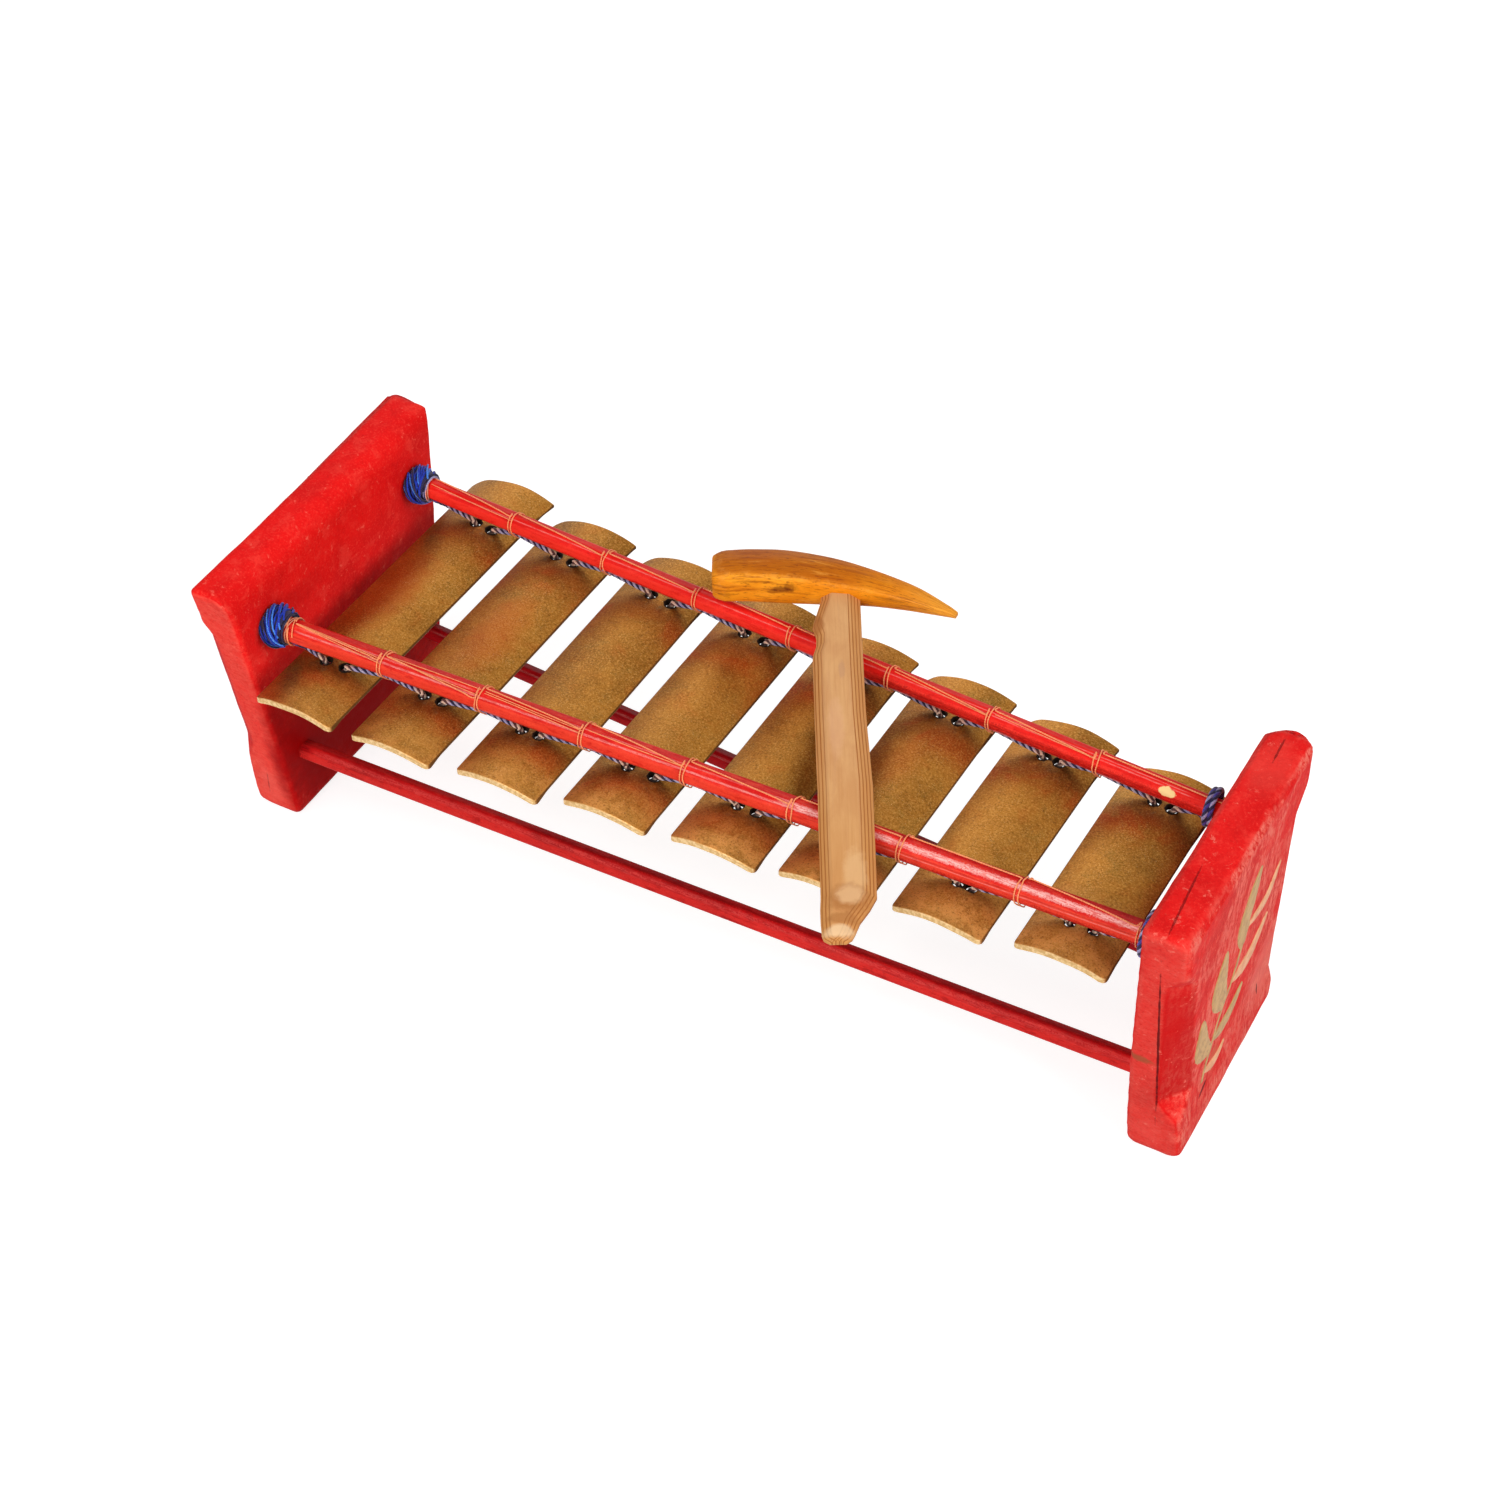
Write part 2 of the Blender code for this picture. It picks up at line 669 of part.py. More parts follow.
def build():
    clear_scene()
    for board in BOARDS:
        end_board(board, material(board + "_paint", (0.76, 0.02, 0.02), 0.45))
    for rod in RODS:
        rod_object(rod, material(rod + "_lacquer", (0.70, 0.03, 0.02), 0.3))
    for index in range(len(BARS)):
        bar_object(index, material(f"bar_{index + 1}_bronze", (0.42, 0.22, 0.06), 0.35, 1.0))
    for place in ("front", "back"):
        rod = place + "_upper_rod"
        cord = place + "_suspension_cord"
        thread = place + "_lashing_thread"
        suspension_cord(cord, rod, material(cord + "_yarn", (0.02, 0.06, 0.42), 0.7))
        lashing_thread(thread, rod, material(thread + "_thread", (0.75, 0.22, 0.07), 0.6))
    mallet_handle(material("mallet_handle_cane", (0.60, 0.38, 0.19), 0.5))
    mallet_head(material("mallet_head_wood", (0.55, 0.22, 0.03), 0.35))
    stand = bpy.data.objects.new("instrument", None)
    bpy.context.scene.collection.objects.link(stand)
    stand.location = (FRAME_SET_RIGHT, FRAME_SET_BACK, 0.0)
    for piece in bpy.data.objects:
        if piece is not stand:
            piece.parent = stand


build()
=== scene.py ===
"""Looks of the small metallophone: painted boards, lacquered rods, bronze bars, twisted cords and the mallet."""

import math
import random

import bmesh
import bpy
import numpy as np
from mathutils import Matrix, Vector, noise
from mathutils.bvhtree import BVHTree


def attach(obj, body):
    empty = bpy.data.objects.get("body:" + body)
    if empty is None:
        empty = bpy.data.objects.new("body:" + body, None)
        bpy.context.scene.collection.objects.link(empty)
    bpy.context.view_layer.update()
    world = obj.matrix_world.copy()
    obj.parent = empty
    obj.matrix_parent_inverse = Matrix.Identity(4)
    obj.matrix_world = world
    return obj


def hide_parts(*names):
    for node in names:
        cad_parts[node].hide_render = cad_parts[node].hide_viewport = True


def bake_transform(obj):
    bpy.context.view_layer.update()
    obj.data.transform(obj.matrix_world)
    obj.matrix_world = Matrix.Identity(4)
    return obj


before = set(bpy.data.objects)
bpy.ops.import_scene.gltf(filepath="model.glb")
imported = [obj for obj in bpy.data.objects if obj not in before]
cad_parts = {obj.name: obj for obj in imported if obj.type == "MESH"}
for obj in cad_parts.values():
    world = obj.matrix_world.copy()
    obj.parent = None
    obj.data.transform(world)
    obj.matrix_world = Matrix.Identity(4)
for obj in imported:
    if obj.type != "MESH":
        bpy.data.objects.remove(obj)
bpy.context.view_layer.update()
SET_RIGHT = 0.0004
SET_BACK = 0.0096

# The camera of the photograph
CAMERA_PLACE = (0.408542, -0.675603, 0.860846)
CAMERA_TURN = (45.69019, 1.07550, 29.53437)
CAMERA_LENS = 67.486

# Frame, as in the solids
FRAME_LENGTH = 0.420
BOARD_THICKNESS = 0.018
BOARD_HEIGHT = 0.134
BOARD_EDGE = 0.0012
BOARD_BACK_ROUND = 0.0028
BOARD_FOOT_ROUND = 0.0030
FOOT_SWELL_HEIGHTS = (0.010, 0.030)
CHAMFER_RUNOUT = {"front": 0.008, "back": 0.008}
CHAMFER_FOOT_RUNOUT = {"front": 0.012, "back": 0.013}
CHAMFER_MINIMUM = 0.0015
INNER_FACE = FRAME_LENGTH / 2 - BOARD_THICKNESS
NECK_Z = BOARD_HEIGHT - 0.014
BOARDS = {
    "left_end_board": {
        "side": -1,
        "front": (0.0531, 0.0688, 0.0716),
        "back": (0.0580, 0.0706, 0.0710),
        "front_chamfer": (0.0060, 0.0045, 0.0040, 0.043),
        "back_chamfer": (0.0060, 0.0045, 0.0040, 0.043),
        "front_swell": (0.0020, 0.0002),
        "back_swell": (0.0034, 0.0034),
        "lip": 0.1155,
        "back_slant": 0.0036,
        "back_bulge": 0.0010,
        "top_round": 0.0012,
    },
    "right_end_board": {
        "side": 1,
        "front": (0.0432, 0.0556, 0.0570),
        "back": (0.0500, 0.0585, 0.0590),
        "front_chamfer": (0.0084, 0.0130, 0.0080, 0.034),
        "back_chamfer": (0.0056, 0.0080, 0.0098, 0.024),
        "front_swell": (0.0026, 0.0008),
        "back_swell": (0.0014, 0.0008),
        "lip": 0.1142,
        "back_slant": 0.0,
        "back_bulge": 0.0036,
        "top_round": 0.0020,
    },
}

RODS = {
    "front_upper_rod": {"edge": "front", "top": 0.1134, "radius": 0.0051, "insets": (0.0178, 0.0185)},
    "back_upper_rod": {"edge": "back", "top": 0.1134, "radius": 0.0045, "insets": (0.0169, 0.0250)},
    "front_lower_rod": {"edge": "front", "top": 0.0362, "radius": 0.0044, "insets": (0.0142, 0.0150)},
    "back_lower_rod": {"edge": "back", "top": 0.0347, "radius": 0.0041, "insets": (0.0152, 0.0280)},
}

# Bars: each one's length, and how far it lies to the right and to the back of its place in the row, and its turn
BARS = (
    (0.1594, -0.0007, 0.0006, -0.75),
    (0.1518, -0.0008, -0.0027, -0.5),
    (0.1460, 0.0002, -0.0019, -0.1),
    (0.1381, 0.0005, -0.0002, -0.8),
    (0.1308, 0.0004, -0.0007, -0.3),
    (0.1242, -0.0006, -0.0001, -0.5),
    (0.1159, -0.0006, 0.0002, -0.8),
    (0.1057, 0.0006, -0.0001, -0.4),
)
ROW_LEFT_GAP = 0.01515
ROW_LENGTH = 2 * INNER_FACE - ROW_LEFT_GAP - 0.01275
BAR_GAP = 0.0093
BAR_PITCH = (ROW_LENGTH + BAR_GAP) / len(BARS)
BAR_WIDTH = BAR_PITCH - BAR_GAP
BAR_THICKNESS = 0.0026
BAR_ARCH = 0.004
BAR_END_BULGE = 0.001
BAR_CORNERS = {"front": (0.0014, 0.0022), "back": (0.0058, 0.0007)}
BAR_FLARE = 0.0014
BAR_SPREAD = 0.0006
BAR_CROWN = 0.1134 - 2 * 0.0051 - 0.0031
HOLE_RADIUS = 0.0023
HOLE_SPACING = 0.0078
HOLES_RIGHT = 0.0024
HOLES_FORWARD = {"front_upper_rod": (0.0023, -0.0010), "back_upper_rod": (0.0004, -0.0003)}

HOLES_SHIFT = {
    "front_upper_rod": (
        (-0.0035, -0.0023), (-0.0028, -0.0026), (-0.0038, -0.0038), (-0.0022, 0.0013),
        (-0.0002, -0.0002), (-0.0010, -0.0010), (-0.0003, -0.0028), (-0.0016, -0.0002),
    ),
    "back_upper_rod": (
        (0.0018, 0.0018), (-0.0024, -0.0019), (-0.0004, 0.0012), (-0.0006, 0.0009),
        (0.0, 0.0), (-0.0011, -0.0011), (-0.0012, -0.0022), (0.0005, 0.0),
    ),
}

# Cords and threads
CORD = 0.0022
CORD_TURNS = 2
TURN_PITCH = 0.0027
THREAD = 0.0008
THREAD_PITCH = 0.0015
CLEARANCE = 0.0003
THREAD_COLLAR_GAP = 0.0006
RINGS = {
    "front_upper_rod": (-0.1352, -0.0900, -0.0434, 0.0012, 0.0468, 0.0918, 0.1393),
    "back_upper_rod": (-0.1368, -0.0902, -0.0453, -0.0004, 0.0448, 0.0899, 0.1363),
}


def srgb(red, green, blue):
    """A colour by its 8-bit values, in linear light."""
    values = [c / 255 for c in (red, green, blue)]
    return tuple(c / 12.92 if c <= 0.04045 else ((c + 0.055) / 1.055) ** 2.4 for c in values) + (1.0,)


class Shader:
    """A material's node graph, built by short calls that return sockets."""

    def __init__(self, name):
        self.material = bpy.data.materials.new(name)
        self.material.use_nodes = True
        self.tree = self.material.node_tree
        self.tree.nodes.clear()
        out = self.tree.nodes.new("ShaderNodeOutputMaterial")
        self.bsdf = self.tree.nodes.new("ShaderNodeBsdfPrincipled")
        self.tree.links.new(self.bsdf.outputs[0], out.inputs[0])
        self.place = self.tree.nodes.new("ShaderNodeTexCoord").outputs["Object"]
        self.normal = None

    def put(self, socket, value):
        if isinstance(value, bpy.types.NodeSocket):
            self.tree.links.new(value, socket)
        else:
            socket.default_value = value

    def new(self, kind, inputs, output=0, **settings):
        node = self.tree.nodes.new(kind)
        for key, value in settings.items():
            setattr(node, key, value)
        for key, value in inputs.items():
            self.put(node.inputs[key], value)
        return node.outputs[output]

    def stretched(self, scale, turn=(0, 0, 0), place=None):
        return self.new("ShaderNodeMapping", {0: place or self.place, "Rotation": turn, "Scale": scale})

    def noise(self, scale, detail=4.0, rough=0.55, place=None, warp=0.0):
        inputs = {
            "Vector": place or self.place,
            "Scale": scale,
            "Detail": detail,
            "Roughness": rough,
            "Distortion": warp,
        }
        return self.new("ShaderNodeTexNoise", inputs)

    def cells(self, scale, place=None, feature="F1"):
        return self.new("ShaderNodeTexVoronoi", {"Vector": place or self.place, "Scale": scale}, feature=feature)

    def math(self, operation, first, second=0.5):
        return self.new("ShaderNodeMath", {0: first, 1: second}, operation=operation)

    def step(self, value, low, high):
        """0 at low and 1 at high, smoothly."""
        inputs = {0: value, 1: low, 2: high, 3: 0.0, 4: 1.0}
        return self.new("ShaderNodeMapRange", inputs, interpolation_type="SMOOTHSTEP", clamp=True)

    def mix(self, factor, first, second, blend="MIX"):
        return self.new("ShaderNodeMix", {0: factor, 6: first, 7: second}, 2, data_type="RGBA", blend_type=blend)

    def attribute(self, name):
        return self.new("ShaderNodeAttribute", {}, 2, attribute_name=name)

    def local(self, first, second, third=0.0):
        """A place made of a mesh's own lengths, such as along and across a piece."""
        values = [self.attribute(v) if isinstance(v, str) else v for v in (first, second, third)]
        return self.new("ShaderNodeCombineXYZ", dict(enumerate(values)))

    def facing(self, axis, sign, low=0.55, high=0.85):
        """1 where the surface faces along an axis of the piece."""
        if self.normal is None:
            self.normal = self.new("ShaderNodeTexCoord", {}, "Normal")
        return self.step(self.math("MULTIPLY", self.axis(axis, self.normal), sign), low, high)

    def spot(self, centre, reach, ragged=0.0, turn=(0, 0, 0), place=None, soft=0.12, fine=None):
        """1 inside an oval patch of given half sizes, with a ragged rim."""
        inputs = {0: place or self.place, "Location": centre, "Rotation": turn, "Scale": reach}
        inside = self.new("ShaderNodeMapping", inputs, vector_type="TEXTURE")
        length = self.new("ShaderNodeVectorMath", {0: inside}, "Value", operation="LENGTH")
        if ragged:
            rim = self.noise(fine or 0.9 / min(reach), 4, 0.6, place)
            length = self.math("ADD", length, self.math("MULTIPLY", self.math("SUBTRACT", rim, 0.5), ragged))
        return self.step(length, 1 + soft, 1 - soft)

    def most(self, *values):
        result = values[0]
        for value in values[1:]:
            result = self.math("MAXIMUM", result, value)
        return result

    def scaled(self, value, factor):
        return self.math("MULTIPLY", value, factor)

    def around(self, low, high, value):
        """A level that goes from low to high as the value goes from 0 to 1."""
        return self.math("ADD", self.scaled(value, high - low), low)

    def axis(self, which, place=None):
        return self.new("ShaderNodeSeparateXYZ", {0: place or self.place}, which)

    def bump(self, height, distance, strength=1.0, below=None):
        inputs = {"Height": height, "Distance": distance, "Strength": strength}
        if below is not None:
            inputs["Normal"] = below
        return self.new("ShaderNodeBump", inputs)

    def finish(self, **values):
        names = {
            "colour": "Base Color",
            "roughness": "Roughness",
            "metal": "Metallic",
            "normal": "Normal",
            "coat": "Coat Weight",
            "coat_roughness": "Coat Roughness",
            "sheen": "Sheen Weight",
            "sheen_roughness": "Sheen Roughness",
            "specular": "Specular IOR Level",
            "anisotropy": "Anisotropic",
        }
        for key, value in values.items():
            self.put(self.bsdf.inputs[names[key]], value)
        return self.material


# Materials
def painted_wood(name, base, light, dark, worn, wash_and_light_levels, cracks, patches):
    """Matte poster paint dabbed on carved wood, thinner and streaky on the outer face, where it also stands in for a
    painted sheen; front faces painted lighter, partly worn paint and partly painted light; patches of stain, painted
    shade and painted light where given.
    """
    s = Shader(name)
    speckle = s.noise(1000, 3, 0.7)
    dabs = s.noise(330, 4, 0.65, None, 0.5)
    mottle = s.noise(120, 5, 0.65, None, 0.6)
    broad = s.noise(30, 3, 0.55, None, 0.4)
    strokes = s.noise(620, 4, 0.70, s.stretched((1.0, 1.0, 0.20), (-0.62, 0.0, 0.0)), 0.5)
    dashes = s.noise(760, 3, 0.65, s.stretched((0.30, 1.0, 1.0)), 0.3)
    colour = s.mix(s.scaled(s.step(broad, 0.42, 0.64), 0.55), base, dark)
    colour = s.mix(s.scaled(s.step(mottle, 0.50, 0.70), 0.45), colour, light)
    colour = s.mix(s.scaled(s.step(mottle, 0.46, 0.30), 0.40), colour, dark)
    # Outer face: thin streaky paint in lighter strokes, which also stands in for a painted sheen on that face
    outer_paint_and_sheen = s.math("MULTIPLY", s.facing(0, wash_and_light_levels[0]), s.step(s.noise(44, 5, 0.65, None, 0.8), 0.34, 0.62))
    brushed = s.around(0.12, 1.0, s.step(s.math("ADD", s.scaled(strokes, 0.6), s.scaled(dabs, 0.4)), 0.43, 0.56))
    colour = s.mix(s.scaled(s.math("MULTIPLY", outer_paint_and_sheen, brushed), wash_and_light_levels[1]), colour, worn)
    gaps = s.math("MULTIPLY", s.facing(0, wash_and_light_levels[0]), s.step(strokes, 0.47, 0.34))
    colour = s.mix(s.scaled(gaps, 0.40), colour, dark)
    # Front faces painted lighter: partly worn paint, partly painted light
    front_wear_and_light = s.math("MULTIPLY", s.facing(1, -1, 0.75, 0.97), s.around(0.50, 1.0, s.step(s.math("ADD", s.scaled(dashes, 0.5), s.scaled(dabs, 0.5)), 0.40, 0.60)))
    colour = s.mix(s.scaled(front_wear_and_light, wash_and_light_levels[2]), colour, worn)
    wear_and_painted_light = s.math("MULTIPLY", s.step(s.attribute("edge"), 0.35, 1.0), s.step(mottle, 0.40, 0.62))
    colour = s.mix(s.scaled(wear_and_painted_light, wash_and_light_levels[3]), colour, worn)
    cut = s.attribute("chamfer")
    colour = s.mix(s.scaled(cut, 0.80), colour, srgb(196, 9, 11))
    flecks = s.math("MULTIPLY", s.step(dabs, 0.60, 0.68), s.step(mottle, 0.40, 0.56))
    colour = s.mix(s.scaled(flecks, 0.7), colour, worn)
    calm = s.around(1.0, 0.4, cut)
    colour = s.mix(s.math("MULTIPLY", s.scaled(s.step(speckle, 0.52, 0.68), 0.50), calm), colour, light)
    colour = s.mix(s.math("MULTIPLY", s.scaled(s.step(speckle, 0.46, 0.30), 0.45), calm), colour, dark)
    relief = s.bump(dabs, 0.0004, 0.45)
    relief = s.bump(speckle, 0.00022, 0.6, relief)
    # Patches: stains and worn paint, and also painted shade or painted light where listed
    for centre, reach, tint, level in patches:
        colour = s.mix(s.scaled(s.spot(centre, reach, 0.9, (0, 0, 0), None, 0.45), level), colour, tint)
    for centre, reach, turn, level in cracks:
        crack = s.spot(centre, reach, 1.6, turn, None, 0.35, 260)
        colour = s.mix(s.scaled(crack, level), colour, srgb(84, 3, 7))
        relief = s.bump(s.scaled(crack, -level), 0.0008, 0.8, relief)
    roughness = s.around(0.55, 0.75, dabs)
    return s.finish(colour=colour, roughness=roughness, normal=relief, specular=0.08)


def lacquer(name, base, dark, light, bare, chips, light_and_shade_bands, gloss):
    """Glossy red lacquer on split cane: lengthwise facets, scratches and chips down to the cane; the front facets
    painted lighter and the back darker, and bands of painted highlight and painted shade at given angles round the rod.
    """
    s = Shader(name)
    turned = s.attribute("turned")
    along = s.stretched((0.04, 1.0, 1.0))
    streak = s.noise(900, 4, 0.6, along)
    fine = s.noise(2400, 3, 0.6, s.stretched((0.10, 1.0, 1.0)))
    speckle = s.noise(1500, 3, 0.7)
    patches = s.noise(48, 3, 0.5, s.stretched((0.6, 1, 1)))
    # Painted light: the front and lower facets lighter; the next lines paint the back facets darker
    under = s.step(s.math("ADD", turned, s.scaled(s.math("SUBTRACT", streak, 0.5), 30.0)), 44.0, 62.0)
    colour = s.mix(s.scaled(s.step(patches, 0.40, 0.66), 0.5), base, dark)
    colour = s.mix(s.scaled(under, 0.60), colour, light)
    colour = s.mix(s.scaled(s.step(turned, 14.0, -20.0), 0.40), colour, dark)
    colour = s.mix(s.scaled(s.step(streak, 0.50, 0.66), 0.30), colour, light)
    colour = s.mix(s.scaled(s.step(streak, 0.44, 0.30), 0.50), colour, dark)
    blotch = s.noise(420, 4, 0.65, s.stretched((0.35, 1.0, 1.0)), 0.3)
    colour = s.mix(s.scaled(s.step(blotch, 0.52, 0.66), 0.45), colour, light)
    colour = s.mix(s.scaled(s.step(blotch, 0.46, 0.32), 0.50), colour, dark)
    colour = s.mix(s.scaled(s.step(speckle, 0.54, 0.68), 0.35), colour, light)
    colour = s.mix(s.scaled(s.step(speckle, 0.46, 0.32), 0.35), colour, dark)
    # Bands at given angles round the rod: painted highlights in the pale tints, painted shade in the dark ones
    banded = 0.0
    for start, end, middle, half, level, tint in light_and_shade_bands:
        here = s.math("MULTIPLY", s.step(s.axis(0), start, start + 0.012), s.step(s.axis(0), end, end - 0.008))
        off = s.math("ABSOLUTE", s.math("SUBTRACT", turned, middle), 0.0)
        band = s.step(s.math("ADD", off, s.scaled(s.math("SUBTRACT", speckle, 0.5), half * 2.4)), half, half * 0.35)
        lines = s.around(0.25, 1.0, s.step(s.math("ADD", s.scaled(fine, 0.5), s.scaled(speckle, 0.5)), 0.42, 0.56))
        wear_and_painted_light = s.scaled(s.math("MULTIPLY", s.math("MULTIPLY", here, band), lines), level)
        colour = s.mix(wear_and_painted_light, colour, tint)
        banded = s.most(banded, wear_and_painted_light)
    for centre, reach, tint in chips:
        chip = s.spot(centre, reach, 0.8, (0, 0, 0), None, 0.08, 420)
        colour = s.mix(chip, colour, tint or bare)
    relief = s.bump(streak, 0.0004, 0.35)
    relief = s.bump(speckle, 0.00012, 0.5, relief)
    roughness = s.math("ADD", s.around(gloss, gloss + 0.22, streak), s.scaled(banded, 0.4))
    return s.finish(colour=colour, roughness=roughness, normal=relief, specular=0.05, coat=0.02, coat_roughness=0.06)


def bronze(name):
    """Hammered bronze sheet, darker round its holes; painted shade on its side faces and in its holes, a painted
    reflection of the red rods in front of them, painted glints, and a painted sheen at its front ends.
    """
    s = Shader(name)
    cloud = s.noise(34, 5, 0.65, None, 0.6)
    patch = s.noise(80, 5, 0.65, None, 0.5)
    grain = s.noise(1250, 3, 0.75)
    fine = s.noise(3400, 2, 0.7)
    colour = s.mix(s.step(cloud, 0.36, 0.62), srgb(136, 88, 28), srgb(160, 106, 38))
    colour = s.mix(s.scaled(s.step(patch, 0.52, 0.70), 0.50), colour, srgb(124, 92, 34))
    colour = s.mix(s.scaled(s.step(patch, 0.46, 0.30), 0.40), colour, srgb(156, 80, 24))
    # Painted reflection of the red rods: an orange-red tint on each bar in front of each rod
    rod_reflection = s.math("MULTIPLY", s.attribute("glow"), s.around(0.10, 1.0, s.step(s.noise(42, 4, 0.6, None, 1.2), 0.42, 0.60)))
    colour = s.mix(s.scaled(rod_reflection, 0.66), colour, srgb(176, 62, 16))
    # Painted sheen: the front end of each bar lighter, stronger on the right bars
    lip = s.math("MULTIPLY", s.attribute("lip"), s.around(0.3, 1.0, s.step(s.noise(130, 4, 0.65), 0.40, 0.60)))
    colour = s.mix(s.scaled(lip, 0.75), colour, srgb(214, 146, 76))
    colour = s.mix(s.scaled(s.step(grain, 0.50, 0.64), 0.55), colour, srgb(200, 144, 72))
    colour = s.mix(s.scaled(s.step(grain, 0.47, 0.33), 0.62), colour, srgb(88, 50, 16))
    # Darker round the holes
    darker_round_holes = s.math("MULTIPLY", s.step(s.attribute("hole"), 0.20, 0.95), s.step(s.noise(210, 5, 0.65), 0.34, 0.60))
    colour = s.mix(s.scaled(darker_round_holes, 0.75), colour, srgb(78, 40, 16))
    verdigris = s.math("MULTIPLY", s.step(s.attribute("hole"), 0.30, 0.70), s.step(s.noise(300, 4, 0.6), 0.54, 0.66))
    colour = s.mix(s.scaled(verdigris, 0.35), colour, srgb(128, 116, 78))
    stain = s.step(s.noise(60, 6, 0.72, None, 0.6), 0.60, 0.72)
    colour = s.mix(s.scaled(stain, 0.45), colour, srgb(104, 66, 28))
    for x, y, reach_x, reach_y, level in BAR_STAINS:
        rust = s.spot((x, y, BAR_CROWN), (reach_x, reach_y, 0.02), 1.2, (0, 0, 0), None, 0.6, 120)
        colour = s.mix(s.scaled(rust, level), colour, srgb(156, 58, 10))
    # Painted glints: fine bright specks on the metal
    painted_glint = s.math("MULTIPLY", s.step(fine, 0.64, 0.72), s.step(patch, 0.40, 0.56))
    colour = s.mix(s.scaled(painted_glint, 0.80), colour, srgb(250, 214, 150))
    # Painted shade: the hole walls and rims near black, not metallic and rough
    rim = s.step(s.attribute("hole"), 0.775, 0.80)
    colour = s.mix(s.scaled(rim, 0.95), colour, srgb(18, 10, 8))
    # Painted shade: the bar's side faces dark brown, less metallic and rougher
    side = s.attribute("side")
    colour = s.mix(s.scaled(side, 0.80), colour, srgb(84, 50, 22))
    end = s.attribute("edge")
    brass = s.mix(s.step(s.noise(700, 3, 0.6), 0.40, 0.62), srgb(212, 168, 106), srgb(240, 204, 148))
    colour = s.mix(end, colour, brass)
    relief = s.bump(s.noise(120, 3, 0.5), 0.0005, 0.4)
    relief = s.bump(grain, 0.00016, 0.5, relief)
    relief = s.bump(fine, 0.00007, 0.6, relief)
    # Less metal at the right bars' front ends, for the painted sheen
    front_sheen = s.math("MULTIPLY", s.attribute("lip"), s.step(s.axis(0), 0.05, 0.16))
    metal = s.math("MULTIPLY", s.around(0.80, 0.0, rim), s.around(1.0, 0.35, s.most(end, side)))
    metal = s.math("MULTIPLY", metal, s.around(1.0, 0.08, front_sheen))
    roughness = s.most(s.around(0.30, 0.46, cloud), s.scaled(rim, 0.9), s.scaled(side, 0.9))
    return s.finish(colour=colour, roughness=roughness, metal=metal, normal=relief, specular=0.12)


def yarn(name, dark, base, light, shine=0.25, worn=None):
    """Spun yarn, bleached where it rubs in a hole, with painted shade where it lies inside one."""
    s = Shader(name)
    fibres = s.noise(1900, 4, 0.6, s.stretched((1.0, 2.2, 1.4), (0.5, 0.4, 0.3)))
    colour = s.mix(s.step(fibres, 0.30, 0.50), dark, base)
    colour = s.mix(s.step(fibres, 0.54, 0.74), colour, light)
    if worn is not None:
        colour = s.mix(s.scaled(s.attribute("near_hole"), 0.85), colour, worn)
        # Painted shade where the cord lies inside a bar's hole
        colour = s.mix(s.scaled(s.attribute("inside"), 0.85), colour, srgb(18, 8, 12))
    relief = s.bump(fibres, 0.0003, 0.6)
    return s.finish(colour=colour, roughness=0.6, normal=relief, sheen=shine, sheen_roughness=0.4, specular=0.3)


def varnished_wood(name):
    """Varnished orange-brown wood with its grain along the head."""
    s = Shader(name)
    place = s.local("along", "round")
    grain = s.noise(520, 6, 0.70, s.stretched((0.09, 1.0, 1.0), (0, 0, 0), place), 0.25)
    bands = s.noise(150, 4, 0.6, s.stretched((0.14, 1.0, 1.0), (0, 0, 0), place), 0.5)
    cloud = s.noise(46, 4, 0.6)
    pores = s.noise(1500, 3, 0.7, s.stretched((0.16, 1.0, 1.0), (0, 0, 0), place))
    colour = s.mix(s.step(cloud, 0.34, 0.64), srgb(228, 134, 18), srgb(248, 160, 34))
    colour = s.mix(s.scaled(s.step(bands, 0.50, 0.66), 0.45), colour, srgb(198, 100, 14))
    colour = s.mix(s.scaled(s.step(s.attribute("along"), 0.018, 0.044), 0.60), colour, srgb(255, 178, 66))
    shaded = s.math("MULTIPLY", s.attribute("upper"), s.around(0.80, 0.25, s.step(s.attribute("along"), -0.008, 0.026)))
    colour = s.mix(shaded, colour, srgb(166, 78, 4))
    colour = s.mix(s.scaled(s.step(grain, 0.50, 0.62), 0.55), colour, srgb(140, 62, 10))
    colour = s.mix(s.scaled(s.step(grain, 0.43, 0.30), 0.50), colour, srgb(246, 168, 66))
    colour = s.mix(s.scaled(s.step(pores, 0.56, 0.66), 0.60), colour, srgb(110, 46, 10))
    for along, round_place, reach_along, reach_round, level in HEAD_STAINS:
        mark = s.spot((along, round_place, 0), (reach_along, reach_round, 1), 1.6, (0, 0, 0), place, 0.5, 420)
        colour = s.mix(s.scaled(mark, level), colour, srgb(84, 20, 8))
    scuffs = s.math("MULTIPLY", s.step(s.attribute("edge"), 0.2, 0.9), s.step(s.noise(420, 5, 0.7), 0.44, 0.62))
    colour = s.mix(s.scaled(scuffs, 0.28), colour, srgb(244, 170, 76))
    relief = s.bump(grain, 0.0004, 0.5)
    relief = s.bump(pores, 0.0002, 0.4, relief)
    roughness = s.around(0.38, 0.58, bands)
    return s.finish(colour=colour, roughness=roughness, normal=relief, specular=0.08, coat=0.04, coat_roughness=0.3)


